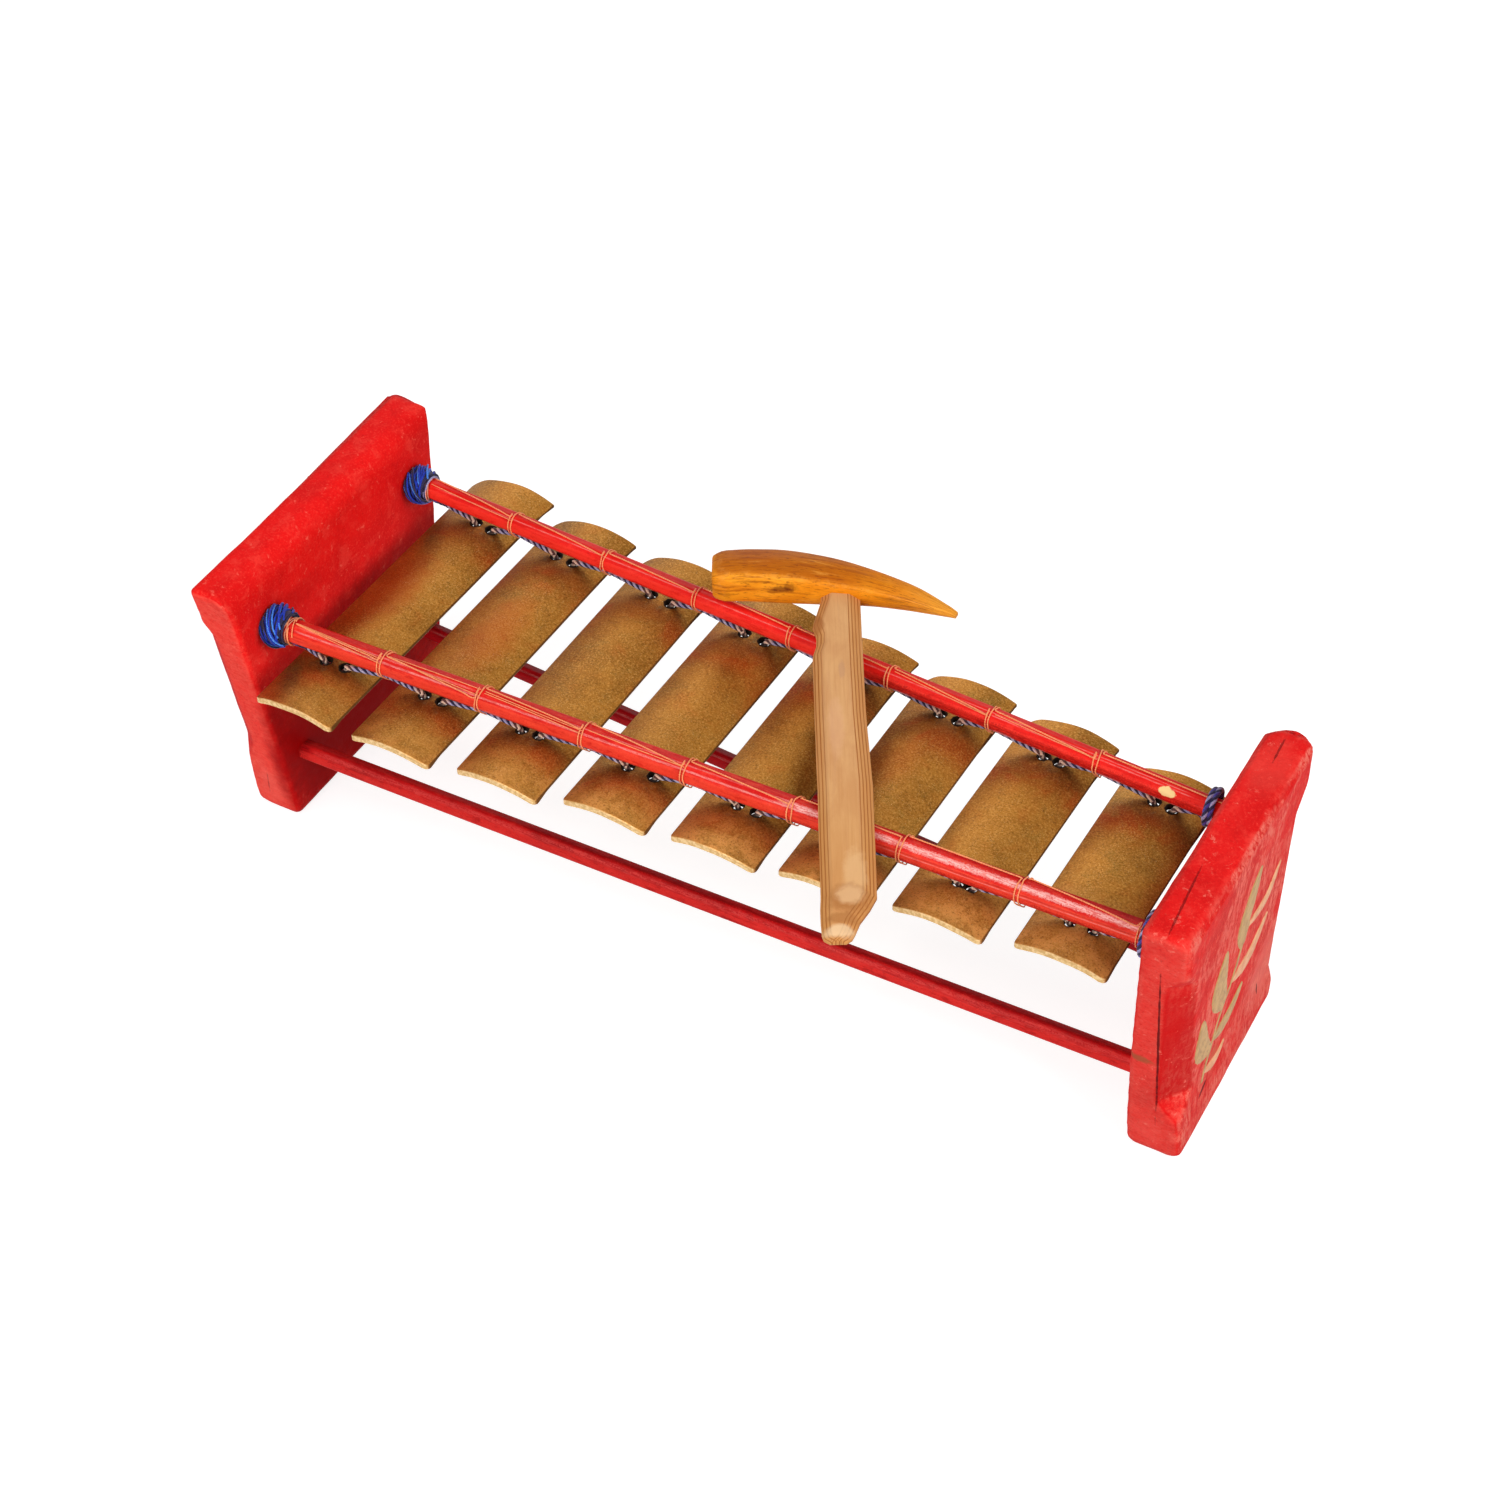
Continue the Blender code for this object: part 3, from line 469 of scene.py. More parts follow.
def cane(name):
    """Raw split cane: fibres along the handle, darker growth lines along both shoulders, speckled cut ends."""
    s = Shader(name)
    place = s.local("across", "along")
    fibres = s.noise(1300, 5, 0.62, s.stretched((1.0, 0.02, 1.0), (0, 0, 0), place), 0.1)
    bands = s.noise(260, 3, 0.5, s.stretched((1.0, 0.05, 1.0), (0, 0, 0), place), 0.2)
    mottled = s.noise(95, 4, 0.6, s.stretched((1.0, 0.30, 1.0), (0, 0, 0), place), 0.4)
    colour = s.mix(s.step(mottled, 0.36, 0.64), srgb(206, 148, 94), srgb(218, 164, 108))
    colour = s.mix(s.scaled(s.step(fibres, 0.50, 0.66), 0.30), colour, srgb(194, 132, 78))
    colour = s.mix(s.scaled(s.step(fibres, 0.44, 0.30), 0.30), colour, srgb(232, 184, 134))
    colour = s.mix(s.scaled(s.step(bands, 0.54, 0.68), 0.30), colour, srgb(198, 142, 100))
    colour = s.mix(s.scaled(s.step(s.attribute("along"), 0.030, -0.040), 0.50), colour, srgb(202, 138, 72))
    drift = s.scaled(s.noise(60, 3, 0.5, s.stretched((0.05, 0.5, 1.0), (0, 0, 0), place)), 2.4)
    stripes = []
    for room, reach, phase in ((s.attribute("left_room"), 0.0036, 3.6), (s.attribute("right_room"), 0.0058, 1.2)):
        colour = s.mix(s.scaled(s.step(room, reach, reach * 0.6), 0.55), colour, srgb(206, 140, 72))
        turned = s.math("ADD", s.scaled(room, 2 * math.pi / 0.0013), s.math("ADD", drift, phase))
        wave = s.math("SINE", turned, 0.0)
        stripes.append(s.math("MULTIPLY", s.step(wave, 0.35, 0.85), s.step(room, reach, reach - 0.0006)))
    growth = s.math("MULTIPLY", s.most(*stripes), s.around(0.6, 1.0, s.step(fibres, 0.30, 0.55)))
    colour = s.mix(s.scaled(growth, 0.90), colour, srgb(160, 90, 30))
    tip = s.attribute("tip")
    ahead = s.math("SUBTRACT", s.attribute("along"), HANDLE_TIP + 0.020)
    bend = s.new("ShaderNodeVectorMath", {0: s.local("across", ahead)}, "Value", operation="LENGTH")
    arcs = s.noise(1.0, 4, 0.6, s.new("ShaderNodeCombineXYZ", {0: s.scaled(bend, 1400.0), 1: 0.3}))
    colour = s.mix(s.scaled(s.math("MULTIPLY", tip, s.step(arcs, 0.48, 0.62)), 0.25), colour, srgb(184, 122, 66))
    dots = s.cells(1500, s.stretched((1.0, 0.55, 1.0), (0, 0, 0), place))
    speckled = s.math("MULTIPLY", s.attribute("cut"), s.step(dots, 0.42, 0.20))
    colour = s.mix(s.scaled(speckled, 0.7), colour, srgb(150, 92, 46))
    for across, along, reach_across, reach_along, tint, level in HANDLE_MARKS:
        mark = s.spot((across, along, 0), (reach_across, reach_along, 1), 0.9, (0, 0, 0), place, 0.35, 330)
        colour = s.mix(s.scaled(mark, level), colour, tint)
    relief = s.bump(fibres, 0.0004, 0.5)
    relief = s.bump(s.scaled(growth, -1.0), 0.0003, 0.5, relief)
    return s.finish(colour=colour, roughness=s.around(0.45, 0.62, bands), normal=relief, specular=0.2)


def gilt(name, low, high, shade):
    """Thin brushed bronze paint, with its brush lines along each leaf."""
    s = Shader(name)
    place = s.local("along", "across")
    bristles = s.noise(900, 4, 0.65, s.stretched((0.12, 1.0, 1.0), (0, 0, 0), place), 0.2)
    blotches = s.noise(260, 4, 0.6)
    colour = s.mix(s.step(blotches, 0.36, 0.62), low, high)
    colour = s.mix(s.scaled(s.step(bristles, 0.52, 0.68), 0.6), colour, shade)
    flakes = s.math("MULTIPLY", s.step(s.noise(520, 4, 0.7), 0.62, 0.70), 0.8)
    colour = s.mix(flakes, colour, srgb(206, 52, 38))
    relief = s.bump(bristles, 0.0003, 0.5)
    return s.finish(colour=colour, roughness=0.5, metal=0.15, normal=relief, specular=0.3)


# Shapes
def link(name, mesh, materials, body, stands_for=()):
    made = bpy.data.objects.new(name, mesh)
    bpy.context.scene.collection.objects.link(made)
    mesh.transform(Matrix.Translation((SET_RIGHT, SET_BACK, 0)))
    for each in materials:
        mesh.materials.append(each)
    if stands_for:
        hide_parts(*stands_for)
    if body is not None:
        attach(made, body)
    return made


def from_bmesh(name, skin):
    bmesh.ops.recalc_face_normals(skin, faces=skin.faces)
    mesh = bpy.data.meshes.new(name)
    skin.to_mesh(mesh)
    skin.free()
    return mesh


def loft(sections):
    skin = bmesh.new()
    rings = [[skin.verts.new(point) for point in section] for section in sections]
    count = len(rings[0])
    for lower, upper in zip(rings, rings[1:]):
        for index in range(count):
            following = (index + 1) % count
            skin.faces.new((lower[index], lower[following], upper[following], upper[index]))
    skin.faces.new(rings[0])
    skin.faces.new(list(reversed(rings[-1])))
    return skin


def modified(name, mesh, *steps):
    """The mesh after a row of modifiers, each a kind and its settings."""
    helper = bpy.data.objects.new(name + "_helper", mesh)
    bpy.context.scene.collection.objects.link(helper)
    for kind, settings in steps:
        modifier = helper.modifiers.new(kind, kind)
        for key, value in settings.items():
            setattr(modifier, key, value)
    bpy.context.view_layer.update()
    graph = bpy.context.evaluated_depsgraph_get()
    result = bpy.data.meshes.new_from_object(helper.evaluated_get(graph))
    bpy.data.objects.remove(helper)
    result.name = name
    return result


def set_float(mesh, name, values):
    layer = mesh.attributes.new(name, "FLOAT", "POINT")
    layer.data.foreach_set("value", np.asarray(values, np.float32))


def blend_at(value, low, high, low_result, high_result):
    share = min(max((value - low) / (high - low), 0.0), 1.0)
    return low_result + (high_result - low_result) * share


def smooth_path(points, step):
    """Points at even steps on a smooth curve through the given ones."""
    points = [Vector(p) for p in points]
    padded = [points[0] * 2 - points[1]] + points + [points[-1] * 2 - points[-2]]
    fine = []
    for a, b, c, d in zip(padded, padded[1:], padded[2:], padded[3:]):
        parts = max(int((c - b).length / step * 1.5), 2)
        for part in range(parts):
            t = part / parts
            spot = 2 * b + (c - a) * t + (2 * a - 5 * b + 4 * c - d) * t * t + (3 * b - a - 3 * c + d) * t**3
            fine.append(spot * 0.5)
    fine.append(points[-1])
    fine = np.array(fine)
    along = np.concatenate([[0], np.cumsum(np.linalg.norm(np.diff(fine, axis=0), axis=1))])
    count = max(int(along[-1] / step), 2)
    where = np.linspace(0, along[-1], count + 1)
    return np.stack([np.interp(where, along, fine[:, k]) for k in range(3)], 1)


def frames_along(path):
    """Tangents and turning-free normals of a path."""
    tangents = np.gradient(path, axis=0)
    tangents /= np.linalg.norm(tangents, axis=1)[:, None] + 1e-12
    normal = np.cross(tangents[0], (0.31, 0.62, 0.72))
    normals = []
    for tangent in tangents:
        normal = normal - tangent * normal.dot(tangent)
        normal = normal / (np.linalg.norm(normal) + 1e-12)
        normals.append(normal)
    normals = np.array(normals)
    return tangents, normals, np.cross(tangents, normals)


class Strands:
    """Many tubes in one mesh."""

    def __init__(self):
        self.points = []
        self.faces = []
        self.slots = []
        self.count = 0

    def tube(self, path, radius, sides, slot=0):
        path = np.asarray(path, float)
        _, normals, across = frames_along(path)
        angles = np.linspace(0, 2 * math.pi, sides, endpoint=False)
        radii = np.broadcast_to(np.asarray(radius, float), (len(path),))
        ring = np.cos(angles)[None, :, None] * normals[:, None] + np.sin(angles)[None, :, None] * across[:, None]
        rings = path[:, None] + ring * radii[:, None, None]
        self.points.append(rings.reshape(-1, 3))
        base = self.count
        for row in range(len(path) - 1):
            for side in range(sides):
                a = base + row * sides + side
                b = base + row * sides + (side + 1) % sides
                self.faces.append((a, b, b + sides, a + sides))
        self.faces.append(tuple(base + side for side in reversed(range(sides))))
        last = base + (len(path) - 1) * sides
        self.faces.append(tuple(last + side for side in range(sides)))
        self.slots += [slot] * ((len(path) - 1) * sides + 2)
        self.count += len(path) * sides

    def twisted(self, path, offset, radius, lay, slots, sides=6, phase=0.0, wobble=0.0, seed=0):
        """A cord of several strands laid round each other."""
        tangents, normals, across = frames_along(path)
        along = np.concatenate([[0], np.cumsum(np.linalg.norm(np.diff(path, axis=0), axis=1))])
        rng = np.random.default_rng(seed)
        for number, slot in enumerate(slots):
            turn = 2 * math.pi * (along / lay + number / len(slots)) + phase
            reach = offset * (1 + wobble * np.interp(along, np.linspace(0, along[-1], 40), rng.normal(0, 1, 40)))
            centre = path + (np.cos(turn) * reach)[:, None] * normals + (np.sin(turn) * reach)[:, None] * across
            self.tube(centre, radius, sides, slot)

    def mesh(self, name):
        mesh = bpy.data.meshes.new(name)
        mesh.from_pydata(np.concatenate(self.points).tolist(), [], self.faces)
        mesh.polygons.foreach_set("material_index", self.slots)
        mesh.shade_smooth()
        mesh.update()
        return mesh


# End boards
def board_reach(board, edge, height):
    foot, neck, top = BOARDS[board][edge]
    if height <= NECK_Z:
        return blend_at(height, 0.0, NECK_Z, foot, neck)
    return blend_at(height, NECK_Z, BOARD_HEIGHT, neck, top)


def chamfer_at(board, edge, height):
    """Width along X and depth along Y of the stopped chamfer on an outer corner, at a height."""
    width, low_depth, high_depth, low = BOARDS[board][edge + "_chamfer"]
    lip = BOARDS[board]["lip"]
    high = lip - CHAMFER_RUNOUT[edge]
    depth = blend_at(height, low, high, low_depth, high_depth)
    fade = min(
        blend_at(height, low - CHAMFER_FOOT_RUNOUT[edge], low, 0.0, 1.0),
        blend_at(height, high, lip, 1.0, 0.0),
    )
    return max(width * fade, CHAMFER_MINIMUM), max(depth * fade, CHAMFER_MINIMUM)


def outer_face(board, edge, height):
    foot, above = BOARDS[board][edge + "_swell"]
    return FRAME_LENGTH / 2 + blend_at(height, *FOOT_SWELL_HEIGHTS, foot, above)


def board_section(board, height, shrink, foot_round):
    side = BOARDS[board]["side"]
    slant = BOARDS[board]["back_slant"]
    inner = INNER_FACE + shrink
    front_outer = outer_face(board, "front", height) - foot_round
    back_outer = outer_face(board, "back", height) - foot_round
    front = -board_reach(board, "front", height) + shrink
    back = board_reach(board, "back", height) - shrink
    front_width, front_depth = chamfer_at(board, "front", height)
    back_width, back_depth = chamfer_at(board, "back", height)
    room = back_outer - back_width - inner - BOARD_BACK_ROUND
    bulge = BOARDS[board]["back_bulge"]
    outline = (
        (inner, front + BOARD_EDGE),
        (inner + BOARD_EDGE, front),
        (front_outer - front_width, front),
        (front_outer, front + front_depth),
        (back_outer, back + slant - back_depth),
        (back_outer - back_width, back + slant),
        (back_outer - back_width - room * 0.22, back + slant * 0.78 + bulge * 0.72),
        (back_outer - back_width - room * 0.5, back + slant * 0.5 + bulge),
        (back_outer - back_width - room * 0.78, back + slant * 0.22 + bulge * 0.72),
        (inner + BOARD_BACK_ROUND, back),
        (inner, back - BOARD_BACK_ROUND),
    )
    return [Vector((side * x, y, height)) for x, y in outline]


def eased(first, second, radius):
    """How far two faces' room moves inwards where their edge is rounded off."""
    if first >= radius or second >= radius:
        return 0.0, 0.0
    far = math.hypot(radius - first, radius - second)
    if far <= radius:
        return 0.0, 0.0
    return (radius - first) * (1 - radius / far), (radius - second) * (1 - radius / far)


# Radii of the worn top edges: along the inner face, along the outer face, at the front and the back
WORN_TOPS = {"left_end_board": (0.0085, 0.0026, 0.0030, 0.0040), "right_end_board": (0.0026, 0.0026, 0.0030, 0.0012)}
PAINT_SWELL = 0.0006
# How far a board's inner face lies inwards of the solid's: at the foot, a third of the way up and at the top
INNER_SPREAD = {"left_end_board": (0.0008, 0.0012, 0.0), "right_end_board": (0.0008, 0.0015, -0.0006)}
SPREAD_MIDDLE = 0.035
# How much a board rises above the solid at its top, at the front and at the back
TOP_RISE = {"left_end_board": (0.0006, 0.0026), "right_end_board": (0.0, 0.0)}


def build_board(board, paint):
    top_round = BOARDS[board]["top_round"]
    heights = {BOARD_FOOT_ROUND, *FOOT_SWELL_HEIGHTS, NECK_Z, BOARD_HEIGHT - top_round}
    heights.add(BOARDS[board]["lip"])
    for edge in ("front", "back"):
        low = BOARDS[board][edge + "_chamfer"][3]
        heights |= {low - CHAMFER_FOOT_RUNOUT[edge], low, BOARDS[board]["lip"] - CHAMFER_RUNOUT[edge]}
    sections = [board_section(board, 0.0, BOARD_EDGE, BOARD_FOOT_ROUND)]
    sections += [board_section(board, height, 0.0, 0.0) for height in sorted(heights)]
    sections.append(board_section(board, BOARD_HEIGHT, top_round, top_round))
    coarse = from_bmesh(board, loft(sections))
    mesh = modified(board + "_look", coarse, ("REMESH", {"mode": "VOXEL", "voxel_size": 0.0010}), ("SMOOTH", {"factor": 0.5, "iterations": 4}))
    side = BOARDS[board]["side"]
    inner_round, outer_round, front_round, back_round = WORN_TOPS[board]
    near_edge = []
    on_chamfer = []
    for vertex in mesh.vertices:
        p = vertex.co
        room = BOARD_HEIGHT - p.z
        inwards, drop = eased(abs(p.x) - INNER_FACE, room, inner_round)
        outwards, drop_outer = eased(FRAME_LENGTH / 2 - abs(p.x), room, outer_round)
        front, drop_front = eased(p.y + board_reach(board, "front", p.z), room, front_round)
        back, drop_back = eased(board_reach(board, "back", p.z) - p.y, room, back_round)
        vertex.co += Vector((side * (inwards - outwards), front - back, -max(drop, drop_outer, drop_front, drop_back)))
    mesh.update()
    for vertex, normal in zip(mesh.vertices, [v.normal.copy() for v in mesh.vertices]):
        p = vertex.co
        y = p.y
        room = sorted((
            abs(abs(p.x) - INNER_FACE),
            abs(FRAME_LENGTH / 2 - abs(p.x)),
            abs(y + board_reach(board, "front", p.z)),
            abs(board_reach(board, "back", p.z) - y),
            p.z,
            BOARD_HEIGHT - p.z,
        ))
        near_edge.append(max(0.0, 1 - room[1] / 0.0045))
        edge = "front" if y < 0 else "back"
        slope = min(side * normal.x, abs(normal.y)) - abs(normal.z)
        low = BOARDS[board]["front_chamfer"][3]
        lip = BOARDS[board]["lip"]
        level = blend_at(slope, 0.16, 0.36, 0.0, 1.0) * blend_at(p.z, low - 0.014, low + 0.002, 0.0, 1.0)
        level *= blend_at(p.z, lip - 0.016, lip - 0.002, 1.0, 0.0)
        on_chamfer.append(level if edge == "front" else 0.0)
        push = noise.noise(p * 30 + Vector((side, 0, 0))) * 0.0006 + noise.noise(p * 120) * 0.00010
        foot_spread, spread, top_spread = INNER_SPREAD[board]
        if p.z < SPREAD_MIDDLE:
            spread = blend_at(p.z, 0.0, SPREAD_MIDDLE, foot_spread, spread)
        else:
            spread = blend_at(p.z, SPREAD_MIDDLE, 0.120, spread, top_spread)
        spread *= blend_at(abs(p.x), INNER_FACE, 0.21, 1.0, 0.0)
        vertex.co = p + normal * (PAINT_SWELL - abs(push)) - Vector((side * spread, 0, 0))
        rise = blend_at(y, -0.07, 0.07, *TOP_RISE[board]) * blend_at(p.z, 0.10, 0.13, 0.0, 1.0)
        vertex.co.z = max(vertex.co.z + rise, 0.0)
    set_float(mesh, "edge", near_edge)
    set_float(mesh, "chamfer", on_chamfer)
    mesh.shade_smooth()
    surface = BVHTree.FromPolygons([v.co.copy() for v in mesh.vertices], [tuple(f.vertices) for f in mesh.polygons])
    link(board + "_look", mesh, [paint], "frame", (board,))
    return surface


# Leaves of the gilt spray: middle line in Y and Z of the outer face, half width in the middle, paint
SPRAY = (
    (((-0.0150, 0.0260), (-0.0060, 0.0480), (0.0060, 0.0660), (0.0180, 0.0860)), 0.0011, 0),
    (((-0.0100, 0.0400), (-0.0200, 0.0520), (-0.0230, 0.0700)), 0.0062, 0),
    (((0.0000, 0.0560), (-0.0080, 0.0720), (-0.0060, 0.0920)), 0.0072, 0),
    (((0.0130, 0.0760), (0.0120, 0.0920), (0.0220, 0.1120)), 0.0068, 0),
    (((-0.0070, 0.0440), (0.0080, 0.0420), (0.0200, 0.0500)), 0.0046, 0),
    (((0.0060, 0.0640), (0.0240, 0.0610), (0.0400, 0.0700)), 0.0044, 1),
    (((0.0170, 0.0840), (0.0340, 0.0830), (0.0460, 0.0930)), 0.0036, 1),
    (((-0.0130, 0.0310), (-0.0020, 0.0270), (0.0070, 0.0300)), 0.0028, 1),
)


def build_spray(surface):
    """Brushed leaves that lie on the right board's outer face."""
    points = []
    faces = []
    slots = []
    lengths = []
    sides = []
    for number, (line, half, slot) in enumerate(SPRAY):
        middle = smooth_path([(y, z, 0.0) for y, z in line], 0.0008)[:, :2]
        tangents = np.gradient(middle, axis=0)
        tangents /= np.linalg.norm(tangents, axis=1)[:, None]
        base = len(points)
        rows = len(middle)
        for row in range(rows):
            share = row / (rows - 1)
            wide = half * (math.sin(math.pi * min(share * 0.93 + 0.05, 1.0)) ** 0.7 if number else 1.0)
            wide += 0.0004 * noise.noise(Vector((row * 0.45, number * 7.0, 0.0)))
            for step in (-1.0, -0.92, -0.5, 0.0, 0.5, 0.92, 1.0):
                y = middle[row, 0] - tangents[row, 1] * wide * step
                z = middle[row, 1] + tangents[row, 0] * wide * step
                hit = surface.ray_cast(Vector((0.25, y - SET_BACK, z)), Vector((-1, 0, 0)))[0]
                lift = -0.0003 if abs(step) == 1.0 or row in (0, rows - 1) else 0.00018
                points.append((hit.x + lift, hit.y, hit.z))
                lengths.append(row * 0.0008 + number * 0.1)
                sides.append(wide * step)
        for row in range(rows - 1):
            for column in range(6):
                a = base + row * 7 + column
                faces.append((a, a + 1, a + 8, a + 7))
                slots.append(slot)
    mesh = bpy.data.meshes.new("gilt_spray")
    mesh.from_pydata(points, [], faces)
    mesh.polygons.foreach_set("material_index", slots)
    set_float(mesh, "along", lengths)
    set_float(mesh, "across", sides)
    mesh.shade_smooth()
    mesh.update()
    return link("gilt_spray", mesh, [GOLD, PEACH], "frame")


# Rods
def rod_height(rod):
    return RODS[rod]["top"] - RODS[rod]["radius"]


def rod_y(rod, x):
    """Y of a rod's axis at a place along the row."""
    spec = RODS[rod]
    sign = -1 if spec["edge"] == "front" else 1
    left = board_reach("left_end_board", spec["edge"], rod_height(rod)) - spec["insets"][0]
    right = board_reach("right_end_board", spec["edge"], rod_height(rod)) - spec["insets"][1]
    share = (x + INNER_FACE) / (2 * INNER_FACE)
    return sign * (left + (right - left) * share)


# Flats of a split-cane rod: each one's facing, from the top to the front, in degrees, and its share of the radius
ROD_FLATS = ((-155, 0.95), (-105, 0.93), (-58, 0.94), (-12, 0.925), (40, 0.925), (84, 0.94), (128, 0.93))
LOWER_ROD_SAG = 0.0004


def build_rod(rod, paint, seed):
    radius = RODS[rod]["radius"]
    reach = INNER_FACE + 0.0095
    sag = LOWER_ROD_SAG if rod == "front_lower_rod" else 0.0
    sections = []
    turned = []
    for step in range(201):
        x = -reach + 2 * reach * step / 200
        low = sag * (1 - (x / reach) ** 2)
        ring = []
        for corner in range(48):
            angle = 2 * math.pi * corner / 48
            size = radius
            for number, (facing, depth) in enumerate(ROD_FLATS):
                facing = math.radians(facing) + 0.16 * noise.noise(Vector((x * 7, number * 3.7, seed)))
                flat = depth + 0.03 * noise.noise(Vector((x * 11, number * 5.1, seed + 9)))
                lean = math.cos(angle - facing)
                if lean > 0.5:
                    size = min(size, radius * min(flat, 1.0) / lean)
            ring.append(Vector((x, rod_y(rod, x) - size * math.sin(angle), rod_height(rod) - low + size * math.cos(angle))))
            turned.append(min(math.degrees(angle), 360 - math.degrees(angle)) * (1 if corner <= 24 else -1))
        sections.append(ring)
    mesh = from_bmesh(rod + "_look", loft(sections))
    set_float(mesh, "turned", turned)
    mesh.shade_smooth()
    return link(rod + "_look", mesh, [paint], "frame", (rod,))


# Bars
def bar_top(x):
    return BAR_CROWN - BAR_ARCH * (2 * x / BAR_WIDTH) ** 2


def row_x(index):
    return ROW_LEFT_GAP - INNER_FACE + BAR_WIDTH / 2 + index * BAR_PITCH


def bar_matrix(index):
    _, right, back, turn = BARS[index]
    return Matrix.Translation((row_x(index) + right, back, 0)) @ Matrix.Rotation(math.radians(turn), 4, "Z")


def bar_hole(index, rod, side):
    """A hole's place in its bar, in front of the rod that it hangs from."""
    x = row_x(index) + HOLES_RIGHT + side * HOLE_SPACING / 2 + HOLES_SHIFT[rod][index][0 if side < 0 else 1]
    forward = blend_at(x, -INNER_FACE, INNER_FACE, *HOLES_FORWARD[rod])
    place = Vector((x, rod_y(rod, x) - forward, 0))
    return bar_matrix(index).inverted() @ place


def corner_cut(x, half, end):
    """How much a rounded corner takes off a bar's end at a place across it."""
    radius = BAR_CORNERS[end][0 if x < 0 else 1]
    past = max(abs(x) - (half - radius), 0.0)
    return radius - math.sqrt(max(radius**2 - past**2, 0.0))


